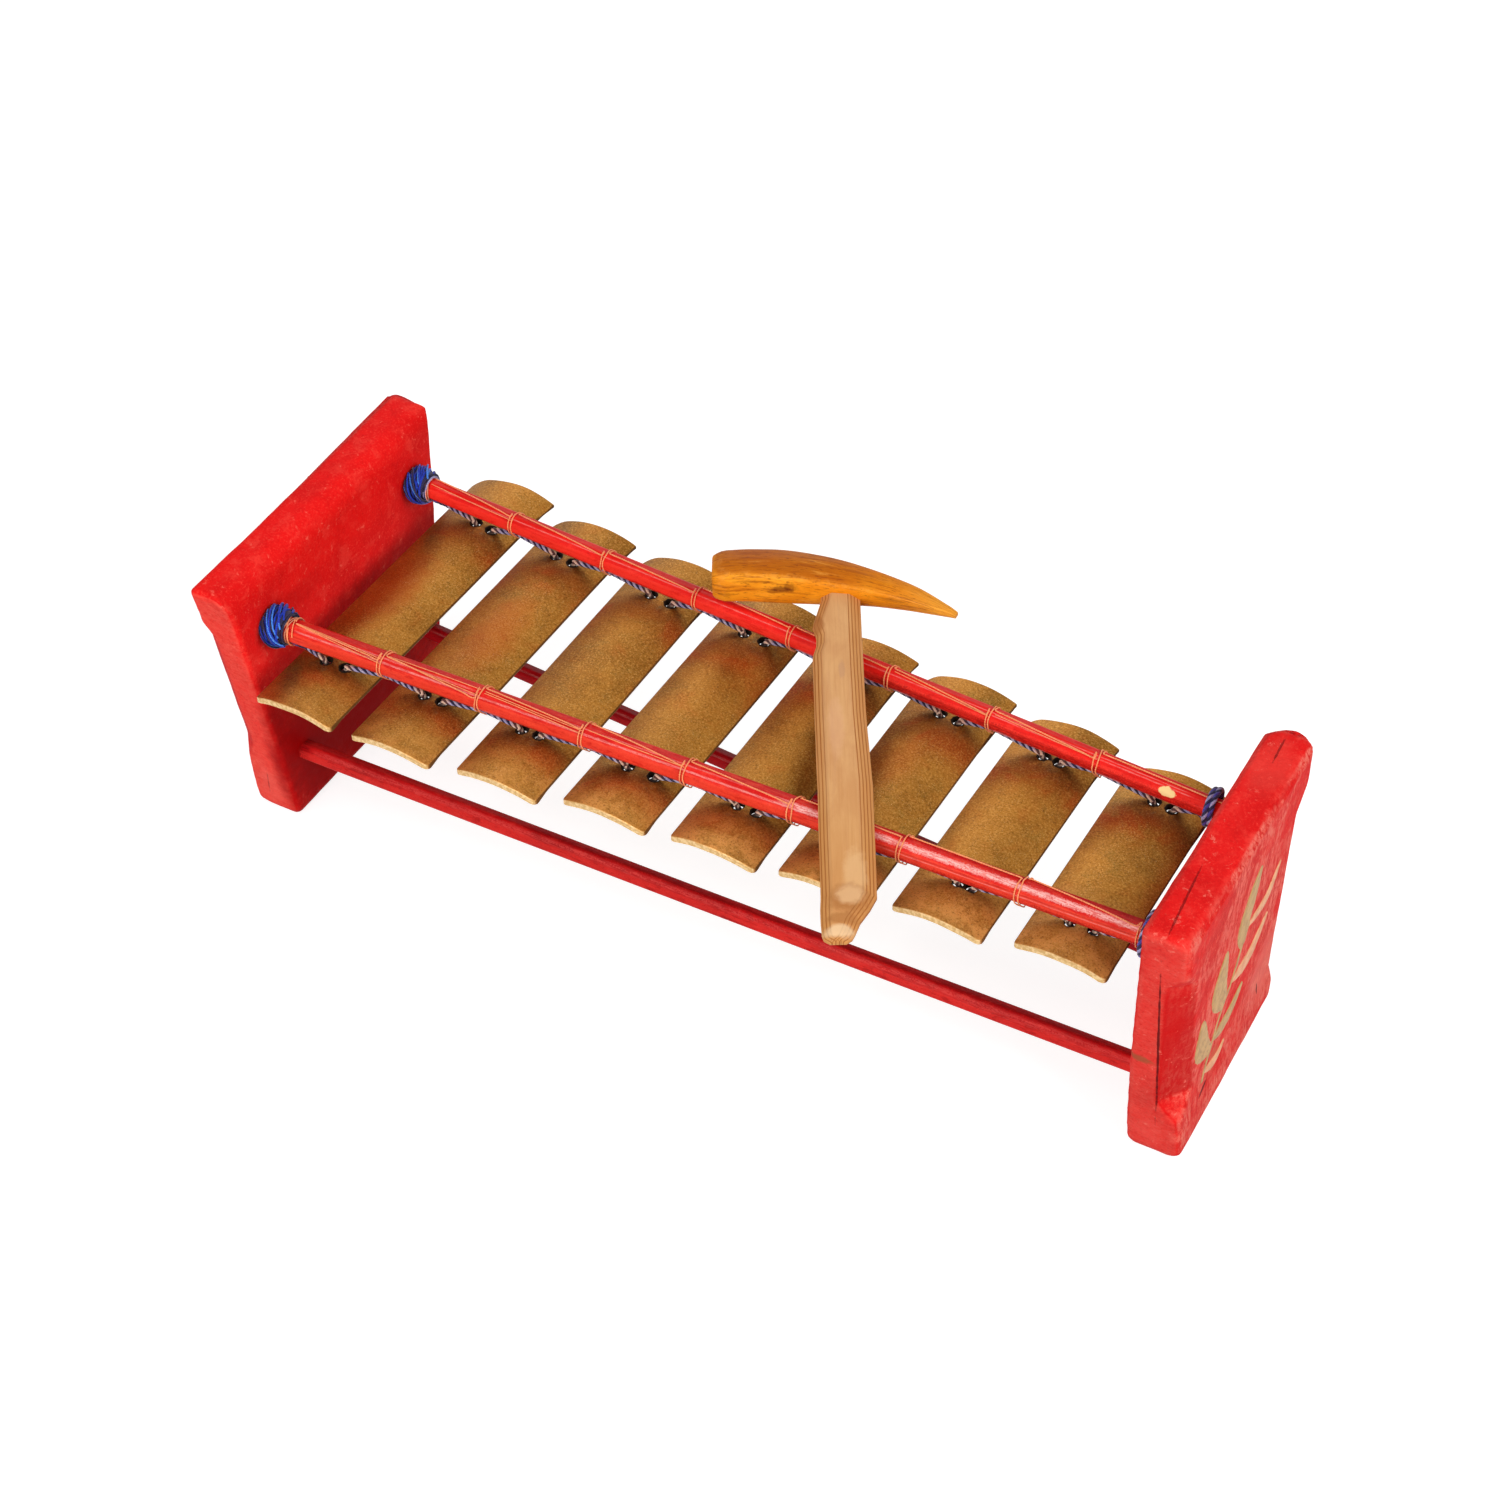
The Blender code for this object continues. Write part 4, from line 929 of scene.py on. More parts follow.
def build_bar(index):
    name = f"bar_{index + 1}"
    length = BARS[index][0]
    half = BAR_WIDTH / 2 + BAR_SPREAD / 2
    inner = [half * (step / 13) * 0.93 for step in range(-13, 14)]
    rim = [half * f for f in (0.955, 0.975, 0.99, 1.0)]
    columns = [-x for x in reversed(rim)] + inner + rim
    rows = int(length / 0.0022)
    sections = []
    for x in columns:
        near, far = [length / 2 - BAR_END_BULGE * (x / half) ** 2 - corner_cut(x, half, end) for end in ("front", "back")]
        far += 0.0004 + 0.0013 * (x / half) + 0.0003 * noise.noise(Vector((x * 90, index * 2.1, 0)))
        near += 0.0006 + 0.0003 * noise.noise(Vector((x * 90, index * 2.1, 9)))
        inset = 0.0003 if abs(x) >= half * 0.999 else 0.0
        top = bar_top(x) - inset
        low = bar_top(x) - BAR_THICKNESS + inset + 0.0007 * blend_at(abs(x), half - 0.002, half, 0.0, 1.0)
        ys = [-near + (near + far) * row / rows for row in range(1, rows)]
        ring = [(-near + 0.0002, low), *[(y, low) for y in ys[1:-1]], (far - 0.0002, low), (far, low + 0.0002)]
        ring += [(far, top - 0.0003), (far - 0.0003, top), *[(y, top) for y in reversed(ys[1:-1])]]
        ring += [(-near + 0.0003, top), (-near, top - 0.0003), (-near, low + 0.0002)]
        section = []
        for y, z in ring:
            flare = BAR_FLARE * max(x / half, 0.0) * blend_at(y, far - 0.012, far, 0.0, 1.0) ** 1.5
            thin = -0.0007 * blend_at(abs(x), half - 0.002, half, 0.0, 1.0)
            lower = blend_at(y, -near, -near + 0.006, 0.0004, thin) if z < top - 0.0009 else 0.0
            ripple = 0.00022 * noise.noise(Vector((x * 45, y * 24, index * 3.3)))
            section.append(Vector((x + flare, y, z - lower + ripple)))
        sections.append(section)
    solid = from_bmesh(name, loft(sections))
    solid.transform(bar_matrix(index))
    drills = bmesh.new()
    holes = []
    for rod in ("front_upper_rod", "back_upper_rod"):
        for side in (-1, 1):
            place = bar_matrix(index) @ bar_hole(index, rod, side)
            holes.append(place)
            spot = Matrix.Translation((place.x, place.y, BAR_CROWN - 0.002))
            bmesh.ops.create_cone(
                drills, cap_ends=True, segments=24, radius1=HOLE_RADIUS, radius2=HOLE_RADIUS, depth=0.012, matrix=spot
            )
    cutter = bpy.data.objects.new(name + "_drills", from_bmesh(name + "_drills", drills))
    bpy.context.scene.collection.objects.link(cutter)
    mesh = modified(name + "_look", solid, ("BOOLEAN", {"operation": "DIFFERENCE", "solver": "EXACT", "object": cutter}))
    bpy.data.objects.remove(cutter)
    back = bar_matrix(index).inverted()
    ends = []
    sides = []
    hole_closeness = []
    glow = []
    lip = []
    for vertex in mesh.vertices:
        p = back @ vertex.co
        room = half - abs(p.x)
        level = abs(vertex.normal.z)
        ends.append(1.0 if level < 0.55 and abs(vertex.normal.y) > 0.6 and abs(p.y) > length / 2 - 0.008 else 0.0)
        # The side faces, which carry painted shade
        sides.append(1.0 if level < 0.75 and abs(vertex.normal.x) > 0.6 and room < 0.0003 else 0.0)
        # Where the painted reflection of the rods lies: a band in front of each rod, weaker towards the right of each
        # bar
        rod_reflection = 0.0
        for rod, middle, spread in (("front_upper_rod", 0.0110, 0.0062), ("back_upper_rod", 0.0135, 0.0075)):
            ahead = rod_y(rod, vertex.co.x) - vertex.co.y
            rod_reflection = max(rod_reflection, math.exp(-((ahead - middle) / spread) ** 2))
            if rod == "front_upper_rod":
                rod_reflection *= blend_at(vertex.co.x, 0.0, 0.10, 1.0, 0.30)
        glow.append(rod_reflection * blend_at(p.x, -half, half, 1.0, 0.6))
        # How far the painted sheen at a bar's front end reaches, further on the right bars
        deep = blend_at(vertex.co.x, 0.05, 0.12, 0.026, 0.036)
        shine = blend_at(p.y, -length / 2 + 0.004, -length / 2 + deep, 1.0, 0.0)
        lip.append(shine * blend_at(vertex.co.x, -0.14, 0.02, 0.35, 1.0))
        near = min((vertex.co.xy - hole.xy).length for hole in holes)
        faint = blend_at(vertex.co.x, 0.02, 0.10, 1.0, 0.35) if p.y < 0 and near > 0.0032 else 1.0
        hole_closeness.append(faint * max(0.0, 1 - near / 0.014))
    set_float(mesh, "edge", ends)
    set_float(mesh, "side", sides)
    set_float(mesh, "hole", hole_closeness)
    set_float(mesh, "glow", glow)
    set_float(mesh, "lip", lip)
    mesh.shade_smooth()
    mesh.set_sharp_from_angle(angle=math.radians(40))
    return link(name + "_look", mesh, [BRONZE], name, (name,))


# Cords and threads
def around_rod(rod, x, angle, radius):
    return Vector((x, rod_y(rod, x) - radius * math.sin(angle), rod_height(rod) + radius * math.cos(angle)))


# The right end of each cord: where its turns begin and end along the row, how many, and their lift off the rod
RIGHT_WINDING = {"front_upper_rod": (0.1872, 0.1904, 2.0, 0.0022), "back_upper_rod": (0.1818, 0.1850, 2.0, 0.0012)}


def right_winding(rod):
    start, end, turns, lift = RIGHT_WINDING[rod]
    points = []
    for step in range(int(turns * 14) + 1):
        share = step / (turns * 14)
        x = start + (end - start) * share
        turn = math.pi + 2 * math.pi * turns * share
        radius = RODS[rod]["radius"] + CLEARANCE + CORD / 2 + lift * math.sin(math.pi * share) * (1 + math.cos(turn))
        points.append(around_rod(rod, x, turn, radius))
    points.append(points[-1] + (points[-1] - points[-2]).normalized() * CORD)
    return points


def round_rim(rim, start_angle, end_angle):
    """The cord's centre as it bends over a rim, in the plane across the bar."""
    half_step = math.radians(abs(end_angle - start_angle)) / 2 / 2
    radius = (CORD / 2 + CLEARANCE) / math.cos(half_step)
    points = []
    for step in range(2 + 1):
        angle = math.radians(start_angle + (end_angle - start_angle) * step / 2)
        points.append((rim[0] + radius * math.cos(angle), rim[1] + radius * math.sin(angle)))
    return points


def through_bar(index, rod):
    """Down the left hole, under the bar and up the right hole."""
    points = []
    for side in (-1, 1):
        hole = bar_hole(index, rod, side)
        outer = hole.x + side * HOLE_RADIUS
        inner = hole.x - side * HOLE_RADIUS
        beside = 90 - 90 * side
        bends = round_rim((outer, bar_top(outer)), 90, 90 + 90 * side)
        bends += round_rim((inner, bar_top(inner) - BAR_THICKNESS), beside, beside - 90 * side)
        if side > 0:
            bends.reverse()
        for x, z in bends:
            world = bar_matrix(index) @ Vector((x, hole.y, 0))
            points.append(Vector((world.x, world.y, z)))
    return points


# How far towards the back a cord lies from the lowest line of its rod, at the left and at the right, in radians
UNDER_TURN = {"front_upper_rod": (0.0, 0.20), "back_upper_rod": (0.06, 0.16)}


def under_rod(rod, x):
    angle = math.pi + blend_at(x, -0.09, 0.03, *UNDER_TURN[rod])
    return around_rod(rod, x, angle, RODS[rod]["radius"] + CLEARANCE + CORD / 2)


def ring_x(index, rod):
    """Where a rod's thread is tied round it, near the gap after a bar."""
    return RINGS[rod][index]


def wrap(rod, start, end, turns, radius, first_turn, tilt=0.0):
    """A strand wound round a rod from one place along it to another."""
    points = []
    count = max(int(abs(turns) * 20), 6)
    for step in range(count + 1):
        share = step / count
        angle = 2 * math.pi * (first_turn + turns * share)
        x = start + (end - start) * share + tilt * math.sin(angle)
        points.append(around_rod(rod, x, angle, radius))
    return points


def build_bundle(place):
    """The cord's spare end, wound over itself beside the left board."""
    rod = place + "_upper_rod"
    base = RODS[rod]["radius"] + CLEARANCE
    board = -INNER_FACE + 0.0012
    strands = Strands()
    strand = 0.00048
    # The inner layers are dark navy yarn: partly the cord's own colour, partly painted shade for the gaps between the
    # outer strands
    layers = (
        (0.00055, 0.0100, 8.6, 0.0002, (3,)),
        (0.00145, 0.0090, 7.6, -0.0007, (3, 3)),
        (0.00205, 0.0076, 4.2, 0.0009, (0,)),
    )
    for number, (lift, reach, turns, tilt, slots) in enumerate(layers):
        for which, slot in enumerate(slots):
            path = wrap(rod, board, board + reach, turns, base + lift, 0.13 * number + 0.5 * which, tilt)
            strands.tube(smooth_path(path, 0.0005), strand, 7, slot)
    rng = random.Random(len(place))
    for number in range(24):
        turn = number / 24 + rng.uniform(-0.03, 0.03)
        low = board + rng.uniform(0.0, 0.0010)
        high = board + rng.uniform(0.0072, 0.0104)
        span = rng.uniform(0.20, 0.38)
        height = rng.uniform(0.0017, 0.0032)
        slot = (0, 1, 0, 3, 0, 1, 3, 0, 0, 1)[number % 10]
        points = []
        for step in range(11):
            share = step / 10
            swell = math.sin(math.pi * (0.18 + 0.70 * share))
            radius = base + 0.0008 + height * swell
            points.append(around_rod(rod, low + (high - low) * share, 2 * math.pi * (turn + span * share), radius))
        strands.tube(smooth_path(points, 0.0005), strand * rng.uniform(0.66, 0.95), 7, slot)
    if place == "back":
        path = wrap(rod, board + 0.0092, board + 0.0104, 1.6, base + 0.0004, 0.2)
        strands.tube(smooth_path(path, 0.0005), strand, 7, 2)
    name = place + "_cord_bundle"
    link(name, strands.mesh(name), [BLUE, LIGHT_BLUE, GREY, NAVY], "frame")


def build_cord(place):
    rod = place + "_upper_rod"
    node = place + "_suspension_cord"
    finish = right_winding(rod)
    first = under_rod(rod, -0.1745)
    last = under_rod(rod, finish[0].x - 2 * CORD)
    ends = Strands()
    ends.twisted(smooth_path([under_rod(rod, -0.1860), first], 0.0004), 0.0006, 0.0006, 0.0075, (0, 1, 0), 8)
    ends.twisted(smooth_path([last] + finish, 0.0004), 0.00060, 0.00062, 0.0075, (0, 1, 0, 2), 8)
    name = place + "_cord_ends"
    link(name, ends.mesh(name), [NAVY, VIOLET, GREY], "frame", (node,))
    for index in range(8):
        before = first if index == 0 else under_rod(rod, ring_x(index - 1, rod))
        after = last if index == 7 else under_rod(rod, ring_x(index, rod))
        sling = Strands()
        path = smooth_path([before, *through_bar(index, rod), after], 0.0004)
        sling.twisted(path, 0.00062, 0.00054, 0.0068, (0, 1, 0, 2), 8, index)
        name = f"{place}_sling_{index + 1}"
        mesh = sling.mesh(name)
        near = []
        inside = []
        holes = [(bar_matrix(index) @ bar_hole(index, rod, side)).x for side in (-1, 1)]
        for vertex in mesh.vertices:
            out = max(holes[0] - vertex.co.x, vertex.co.x - holes[1])
            near.append(blend_at(out, 0.0026, 0.0052, 1.0, 0.0))
            # Where the cord lies inside the hole, for the painted shade there
            inside.append(blend_at(vertex.co.z, BAR_CROWN - 0.0010, BAR_CROWN + 0.0004, 1.0, 0.0))
        set_float(mesh, "near_hole", near)
        set_float(mesh, "inside", inside)
        piece = link(name, mesh, [NAVY, GREY, CREAM], None)
        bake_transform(piece)


THREAD_ROOM = 0.0003


def thread_turn(rod):
    room = THREAD_ROOM
    drop = RODS[rod]["radius"] + CLEARANCE + CORD / 2
    wide = RODS[rod]["radius"] + room
    narrow = CORD / 2 + room
    leave = math.pi / 2 + math.asin((wide - narrow) / drop)
    points = [(leave * step / 6, 0.0, wide) for step in range(7)]
    points += [(leave + (math.pi - leave) * step / 2, drop, narrow) for step in range(1, 5)]
    points += [(2 * math.pi - leave + leave * step / 6, 0.0, wide) for step in range(6)]
    return points


def thread_ring(rod, start_x, turns, jitter):
    points = []
    for turn in range(turns):
        for angle, drop, radius in thread_turn(rod):
            slip = jitter * noise.noise(Vector((start_x * 300, turn * 1.7, angle)))
            x = start_x + (turn + angle / (2 * math.pi)) * THREAD_PITCH + slip
            points.append(around_rod(rod, x, angle, radius) - Vector((0, 0, drop)))
    return points


# Threads that run along a rod: the ring each one leaves, and its angles there and at the next ring, in degrees.
# The first one from each ring is the lashing thread itself; the others are its loose turns.
RUNS = {
    "front": (
        (0, 6, 36), (0, 8, 50), (0, 2, 30), (1, 6, 52), (1, 10, 36), (1, 4, 6), (2, -10, 24), (2, 8, 30), (2, 18, 44),
        (3, -25, 27), (3, 18, 30), (4, -6, 27), (5, -22, -4), (6, -26, -12), (7, -30, 22),
    ),
    "back": (
        (0, -32, 21), (0, 20, 40), (1, -13, 28), (2, 2, 24), (3, -26, 6), (4, -14, 10), (5, -8, 36), (5, 10, 42),
        (6, 0, 34), (6, 20, 36), (7, -6, 0),
    ),
}
COLLAR = {
    "front": ((-0.1812, -0.1778, 0.9, 1.3, 0.0014), (-0.1806, -0.1784, 0.3, 1.0, -0.0014),
              (-0.1796, -0.1776, 0.1, 0.9, 0.0010), (-0.1814, -0.1792, 0.6, 0.8, -0.0016)),
    "back": ((-0.1834, -0.1806, 0.9, 1.1, 0.0014), (-0.1830, -0.1812, 0.2, 1.1, 0.0018), (-0.1822, -0.1812, 0.5, 1.0, 0.0010)),
}
RIGHT_RINGS = {"front": (0.1850, 3, 0.0011), "back": (0.1880, 1, 0.0011)}


def along_rod(rod, start, end, first, last, lift, bow=0.0):
    """Points of a thread that lies along a rod between two places, from one angle to another, in degrees."""
    points = []
    for step in range(9):
        share = step / 8
        angle = math.radians(first + (last - first) * share + bow * math.sin(math.pi * share))
        points.append(around_rod(rod, start + (end - start) * share, angle, RODS[rod]["radius"] + lift))
    return points


def build_thread(place):
    rod = place + "_upper_rod"
    node = place + "_lashing_thread"
    last_ring, last_turns, last_pitch = RIGHT_RINGS[place]
    rings = [COLLAR[place][0][1] + 0.0004] + [ring_x(index, rod) for index in range(7)] + [last_ring]
    strands = Strands()
    leaving = set()
    points = []
    for number, (start, first, last) in enumerate(RUNS[place]):
        low = rings[start] + (0.0012 if start else 0.0)
        high = rings[start + 1] - 0.0016
        if start in leaving:
            path = along_rod(rod, low + 0.0006, high + 0.0012, first, last, 0.00005, 2.0 * math.sin(number * 2.1))
            strands.tube(smooth_path(path, 0.0008), 0.00017, 6)
            continue
        leaving.add(start)
        points += along_rod(rod, low, high, first, last, 0.0002)
        if start < 7:
            points += thread_ring(rod, ring_x(start, rod) - THREAD_PITCH, 2, 0.0005)
    for turn in range(last_turns * 12 + 1):
        angle = 2 * math.pi * turn / 12
        points.append(around_rod(rod, last_ring + last_pitch * turn / 12, angle, RODS[rod]["radius"] + 0.0004))
    strands.twisted(smooth_path(points, 0.0004), 0.00013, 0.00018, 0.0020, (0, 0), 6)
    for number, (start, end, first, turns, tilt) in enumerate(COLLAR[place]):
        path = wrap(rod, start, end, turns, RODS[rod]["radius"] + 0.0004 + 0.0002 * (number % 3), first, tilt)
        strands.tube(smooth_path(path, 0.0005), 0.00024, 6, number % 2)
    name = place + "_thread"
    return link(name, strands.mesh(name), [ORANGE, PALE_THREAD], "frame", (node,))


# Mallet
def thread_top(rod):
    return rod_height(rod) + RODS[rod]["radius"] + 0.00035 + THREAD / 2 + 0.0008


MALLET_YAW = math.radians(29.83)
HEAD_DISTANCE = 0.1204
HEAD_RADIUS = 0.0097
HEAD_RISE = 0.0028


def mallet_matrix():
    x = 0.0669
    rod = "front_upper_rod"
    rest = Vector((x, rod_y(rod, x), MALLET_HEIGHT))
    return Matrix.Translation(rest) @ Matrix.Rotation(MALLET_YAW, 4, "Z") @ Matrix.Rotation(MALLET_TILT, 4, "X")


MALLET_HEIGHT = rod_height("front_upper_rod") + 0.0051 + 0.00035 + 0.0004 + 0.0007 + 0.00008
MALLET_TILT = math.asin(
    (rod_height("back_upper_rod") + 0.0045 + 0.00145 + 0.00008 + HEAD_RADIUS - MALLET_HEIGHT - HEAD_RISE) / HEAD_DISTANCE
)


HANDLE_HALF = 0.01005
HANDLE_FACE = HEAD_DISTANCE - HEAD_RADIUS
HANDLE_TIP = -0.0618
HANDLE_FULL = 0.005
# Along the handle, its left and right edges and its height
HANDLE_STATIONS = (
    (HANDLE_TIP, -0.0068, -0.0010, HANDLE_FULL * 0.55),
    (HANDLE_TIP + 0.0016, -0.0092, 0.0012, HANDLE_FULL * 0.70),
    (HANDLE_TIP + 0.0036, -HANDLE_HALF + 0.0003, 0.0022, HANDLE_FULL * 0.80),
    (HANDLE_TIP + 0.0090, -HANDLE_HALF, 0.0042, HANDLE_FULL * 0.95),
    (HANDLE_TIP + 0.0150, -HANDLE_HALF, 0.0080, HANDLE_FULL),
    (HANDLE_TIP + 0.0205, -HANDLE_HALF + 0.0003, HANDLE_HALF + 0.0006, HANDLE_FULL),
    (0.0120, -HANDLE_HALF + 0.0003, HANDLE_HALF + 0.0010, HANDLE_FULL),
    (0.0495, -HANDLE_HALF, HANDLE_HALF - 0.0003, HANDLE_FULL),
    (HANDLE_FACE - 0.0305, -HANDLE_HALF, HANDLE_HALF - 0.0005, HANDLE_FULL),
    (HANDLE_FACE - 0.0250, -0.0086, HANDLE_HALF * 0.95, HANDLE_FULL),
    (HANDLE_FACE - 0.0200, -0.0084, HANDLE_HALF * 0.95, HANDLE_FULL),
    (HANDLE_FACE - 0.0145, -0.0098, HANDLE_HALF * 0.95, HANDLE_FULL),
    (HANDLE_FACE - 0.0100, -0.0088, HANDLE_HALF * 0.95, HANDLE_FULL),
    (HANDLE_FACE, -0.0062, HANDLE_HALF * 0.95, HANDLE_FULL),
    (HANDLE_FACE + 0.0132, -0.0060, 0.0085, HANDLE_FULL),
)


def handle_at(along):
    row = np.array(HANDLE_STATIONS)
    return [float(np.interp(along, row[:, 0], row[:, column])) for column in (1, 2, 3)]


def handle_section(along):
    left, right, height = handle_at(along)
    wave = 0.00012 * noise.noise(Vector((along * 60, 0, 0)))
    left += wave
    right += 0.00012 * noise.noise(Vector((along * 60, 5, 0)))
    shoulder = min(0.0042, (right - left) * 0.3)
    step = min(0.0018, height * 0.4)
    outline = (
        (left, 0.0), (right, 0.0), (right, step), (right - shoulder, height), (left + shoulder, height), (left, step)
    )
    return [Vector((across, along, up)) for across, up in outline]


def build_handle():
    stations = {row[0] for row in HANDLE_STATIONS}
    fill = np.linspace(HANDLE_TIP, HANDLE_FACE, 60)
    stations |= {float(along) for along in fill if min(abs(along - other) for other in stations) > 0.0015}
    handle = from_bmesh("mallet_handle", loft([handle_section(along) for along in sorted(stations)]))
    handle = modified("mallet_handle_look", handle, ("BEVEL", {"width": 0.0005, "segments": 3, "limit_method": "ANGLE"}))
    values = {name: [] for name in ("across", "along", "left_room", "right_room", "tip", "cut")}
    for vertex in handle.vertices:
        across, along, _ = vertex.co
        left, right, _ = handle_at(along)
        values["across"].append(across)
        values["along"].append(along)
        values["left_room"].append(across - left)
        values["right_room"].append(right - across)
        values["tip"].append(max(0.0, min(1.0, (HANDLE_TIP + 0.026 - along) / 0.012)))
        values["cut"].append(1.0 if along < HANDLE_TIP + 0.0012 else 0.0)
    for name, numbers in values.items():
        set_float(handle, name, numbers)
    handle.transform(mallet_matrix())
    handle.shade_smooth()
    handle.set_sharp_from_angle(angle=math.radians(35))
    link("mallet_handle_look", handle, [CANE], "mallet", ("mallet_handle",))


HEAD_LEFT = 0.0480
HEAD_RIGHT = 0.0483
# Along the head, how far its middle lies towards the back, and its radius as a share of the full one
HEAD_ROWS = (
    (-HEAD_LEFT + 0.0052, 0.0048, 0.965),
    (-HEAD_LEFT * 0.67, 0.0048, 0.99),
    (-HEAD_LEFT * 0.35, 0.0033, 1.0),
    (0.0, 0.0, 0.88),
    (HEAD_RIGHT * 0.28, -0.0036, 0.70),
    (HEAD_RIGHT * 0.60, -0.0094, 0.50),
    (HEAD_RIGHT * 0.88, -0.0168, 0.24),
    (HEAD_RIGHT * 0.975, -0.0198, 0.13),
)
HEAD_END = (
    (-HEAD_LEFT - 0.0014, 0.0044, 0.30), (-HEAD_LEFT - 0.0012, 0.0044, 0.70), (-HEAD_LEFT - 0.0006, 0.0044, 0.80),
    (-HEAD_LEFT + 0.0010, 0.0045, 0.88), (-HEAD_LEFT + 0.0030, 0.0046, 0.945),
)
HEAD_CORNERS = 72


def build_head():
    body = smooth_path([(across, along, share) for across, along, share in HEAD_ROWS], 0.0012)
    rows = [np.array(row) for row in HEAD_END] + list(body)
    middles = np.array([(row[0], HEAD_DISTANCE + row[1], HEAD_RISE) for row in rows])
    tangents = np.gradient(middles, axis=0)
    up = np.array((0.0, 0.0, 1.0))
    sections = []
    lengths = []
    rounds = []
    ridges = []
    for index, row in enumerate(rows):
        tangent = tangents[index] / np.linalg.norm(tangents[index])
        sideways = np.cross(tangent, up)
        sideways /= np.linalg.norm(sideways)
        ring = []
        for corner in range(HEAD_CORNERS):
            angle = -math.pi / 2 + 2 * math.pi * corner / HEAD_CORNERS
            facing = angle + 0.10 + 0.12 * math.sin(row[0] * 40)
            square = (abs(math.cos(facing)) ** 5 + abs(math.sin(facing)) ** 5) ** (-1 / 5)
            size = HEAD_RADIUS * row[2] * (0.45 + 0.55 * square) * 0.965
            size += 0.00022 * noise.noise(Vector((row[0] * 70, math.cos(angle) * 2, math.sin(angle) * 2)))
            ring.append(Vector(middles[index] + (sideways * math.cos(angle) + up * math.sin(angle)) * size))
            lengths.append(row[0])
            rounds.append(angle * HEAD_RADIUS)
            ridges.append(max(0.0, (square - 1.16) / 0.10) if index > 4 else 0.6)
        sections.append(ring)
    head = from_bmesh("mallet_head_look", loft(sections))
    set_float(head, "along", lengths)
    set_float(head, "round", rounds)
    set_float(head, "edge", ridges)
    set_float(head, "upper", [max(0.0, min(1.0, (v.normal.z - 0.62) / 0.25)) for v in head.vertices])
    head.transform(mallet_matrix())
    head.shade_smooth()
    head.set_sharp_from_angle(angle=math.radians(42))
    link("mallet_head_look", head, [HEAD_WOOD], "mallet", ("mallet_head",))


# What the materials are made of
# Reddish stains on the bars: place, half sizes and level
BAR_STAINS = (
    (-0.1645, 0.0085, 0.0090, 0.0220, 0.50),
    (-0.1323, 0.0421, 0.0060, 0.0100, 0.34),
    (-0.1130, 0.0040, 0.0090, 0.0240, 0.42),
    (-0.0885, 0.0379, 0.0070, 0.0100, 0.30),
    (-0.0378, 0.0423, 0.0070, 0.0110, 0.26),
    (0.0009, 0.0230, 0.0070, 0.0130, 0.30),
    (0.0650, 0.0190, 0.0080, 0.0150, 0.22),
)
HEAD_STAINS = (
    (-0.0205, 0.0020, 0.0050, 0.0013, 0.70),
    (-0.0175, 0.0034, 0.0030, 0.0016, 0.55),
    (-0.0240, 0.0006, 0.0030, 0.0010, 0.45),
    (-0.0330, 0.0050, 0.0080, 0.0006, 0.35),
    (0.0240, 0.0030, 0.0060, 0.0010, 0.40),
    (-0.0440, -0.0020, 0.0030, 0.0010, 0.30),
)
HANDLE_MARKS = (
    (-0.0076, 0.0960, 0.0022, 0.0050, srgb(170, 104, 52), 0.75),
    (0.0030, -0.0330, 0.0042, 0.0110, srgb(236, 192, 140), 0.45),
    (-0.0020, 0.0400, 0.0030, 0.0140, srgb(226, 172, 132), 0.35),
    (0.0010, 0.0700, 0.0012, 0.0050, srgb(190, 140, 104), 0.50),
    (0.0004, -0.0440, 0.0072, 0.0062, srgb(166, 102, 48), 0.65),
    (0.0006, -0.0425, 0.0048, 0.0040, srgb(226, 178, 128), 0.80),
    (-0.0020, -0.0528, 0.0060, 0.0022, srgb(166, 104, 52), 0.60),
    (-0.0032, -0.0580, 0.0056, 0.0024, srgb(236, 200, 156), 0.75),
)
RIGHT_CRACKS = (
    ((0.2020, -0.0405, 0.0703), (0.0004, 0.0040, 0.0380), (0.094, -0.021, 0), 0.90),
    ((0.2116, -0.0130, 0.0215), (0.0040, 0.0036, 0.0008), (0.44, 0, 0), 0.95),
    ((0.2116, 0.0410, 0.0240), (0.0040, 0.0005, 0.0040), (0.2, 0, 0), 0.8),
    ((0.2011, 0.0575, 0.1345), (0.0004, 0.0060, 0.0030), (0, 0, 0.05), 0.60),
    ((0.2006, -0.0285, 0.1345), (0.0004, 0.0160, 0.0030), (0, 0, 0.08), 0.60),
)
LEFT_CRACKS = (
    ((-0.2020, -0.0440, 0.0190), (0.0004, 0.0040, 0.0080), (0, 0.15, 0), 0.35),
)
RIGHT_PATCHES = (
    ((0.1950, -0.0405, 0.0580), (0.0050, 0.0040, 0.0018), srgb(150, 84, 50), 0.75),
    ((0.2116, -0.0040, 0.0300), (0.0040, 0.0040, 0.0060), srgb(206, 120, 80), 0.35),
    ((0.2120, 0.0500, 0.0200), (0.0040, 0.0120, 0.0100), srgb(240, 110, 90), 0.25),
    ((0.2112, 0.0440, 0.0340), (0.0040, 0.0140, 0.0160), srgb(248, 140, 124), 0.40),
    ((0.2018, 0.0476, 0.1340), (0.0080, 0.0140, 0.0040), srgb(236, 80, 68), 0.30),
    # A paler front foot: worn paint, and painted light for the light the floor throws up
    ((0.2000, -0.0440, 0.0100), (0.0120, 0.0080, 0.0130), srgb(255, 104, 92), 0.55),
)
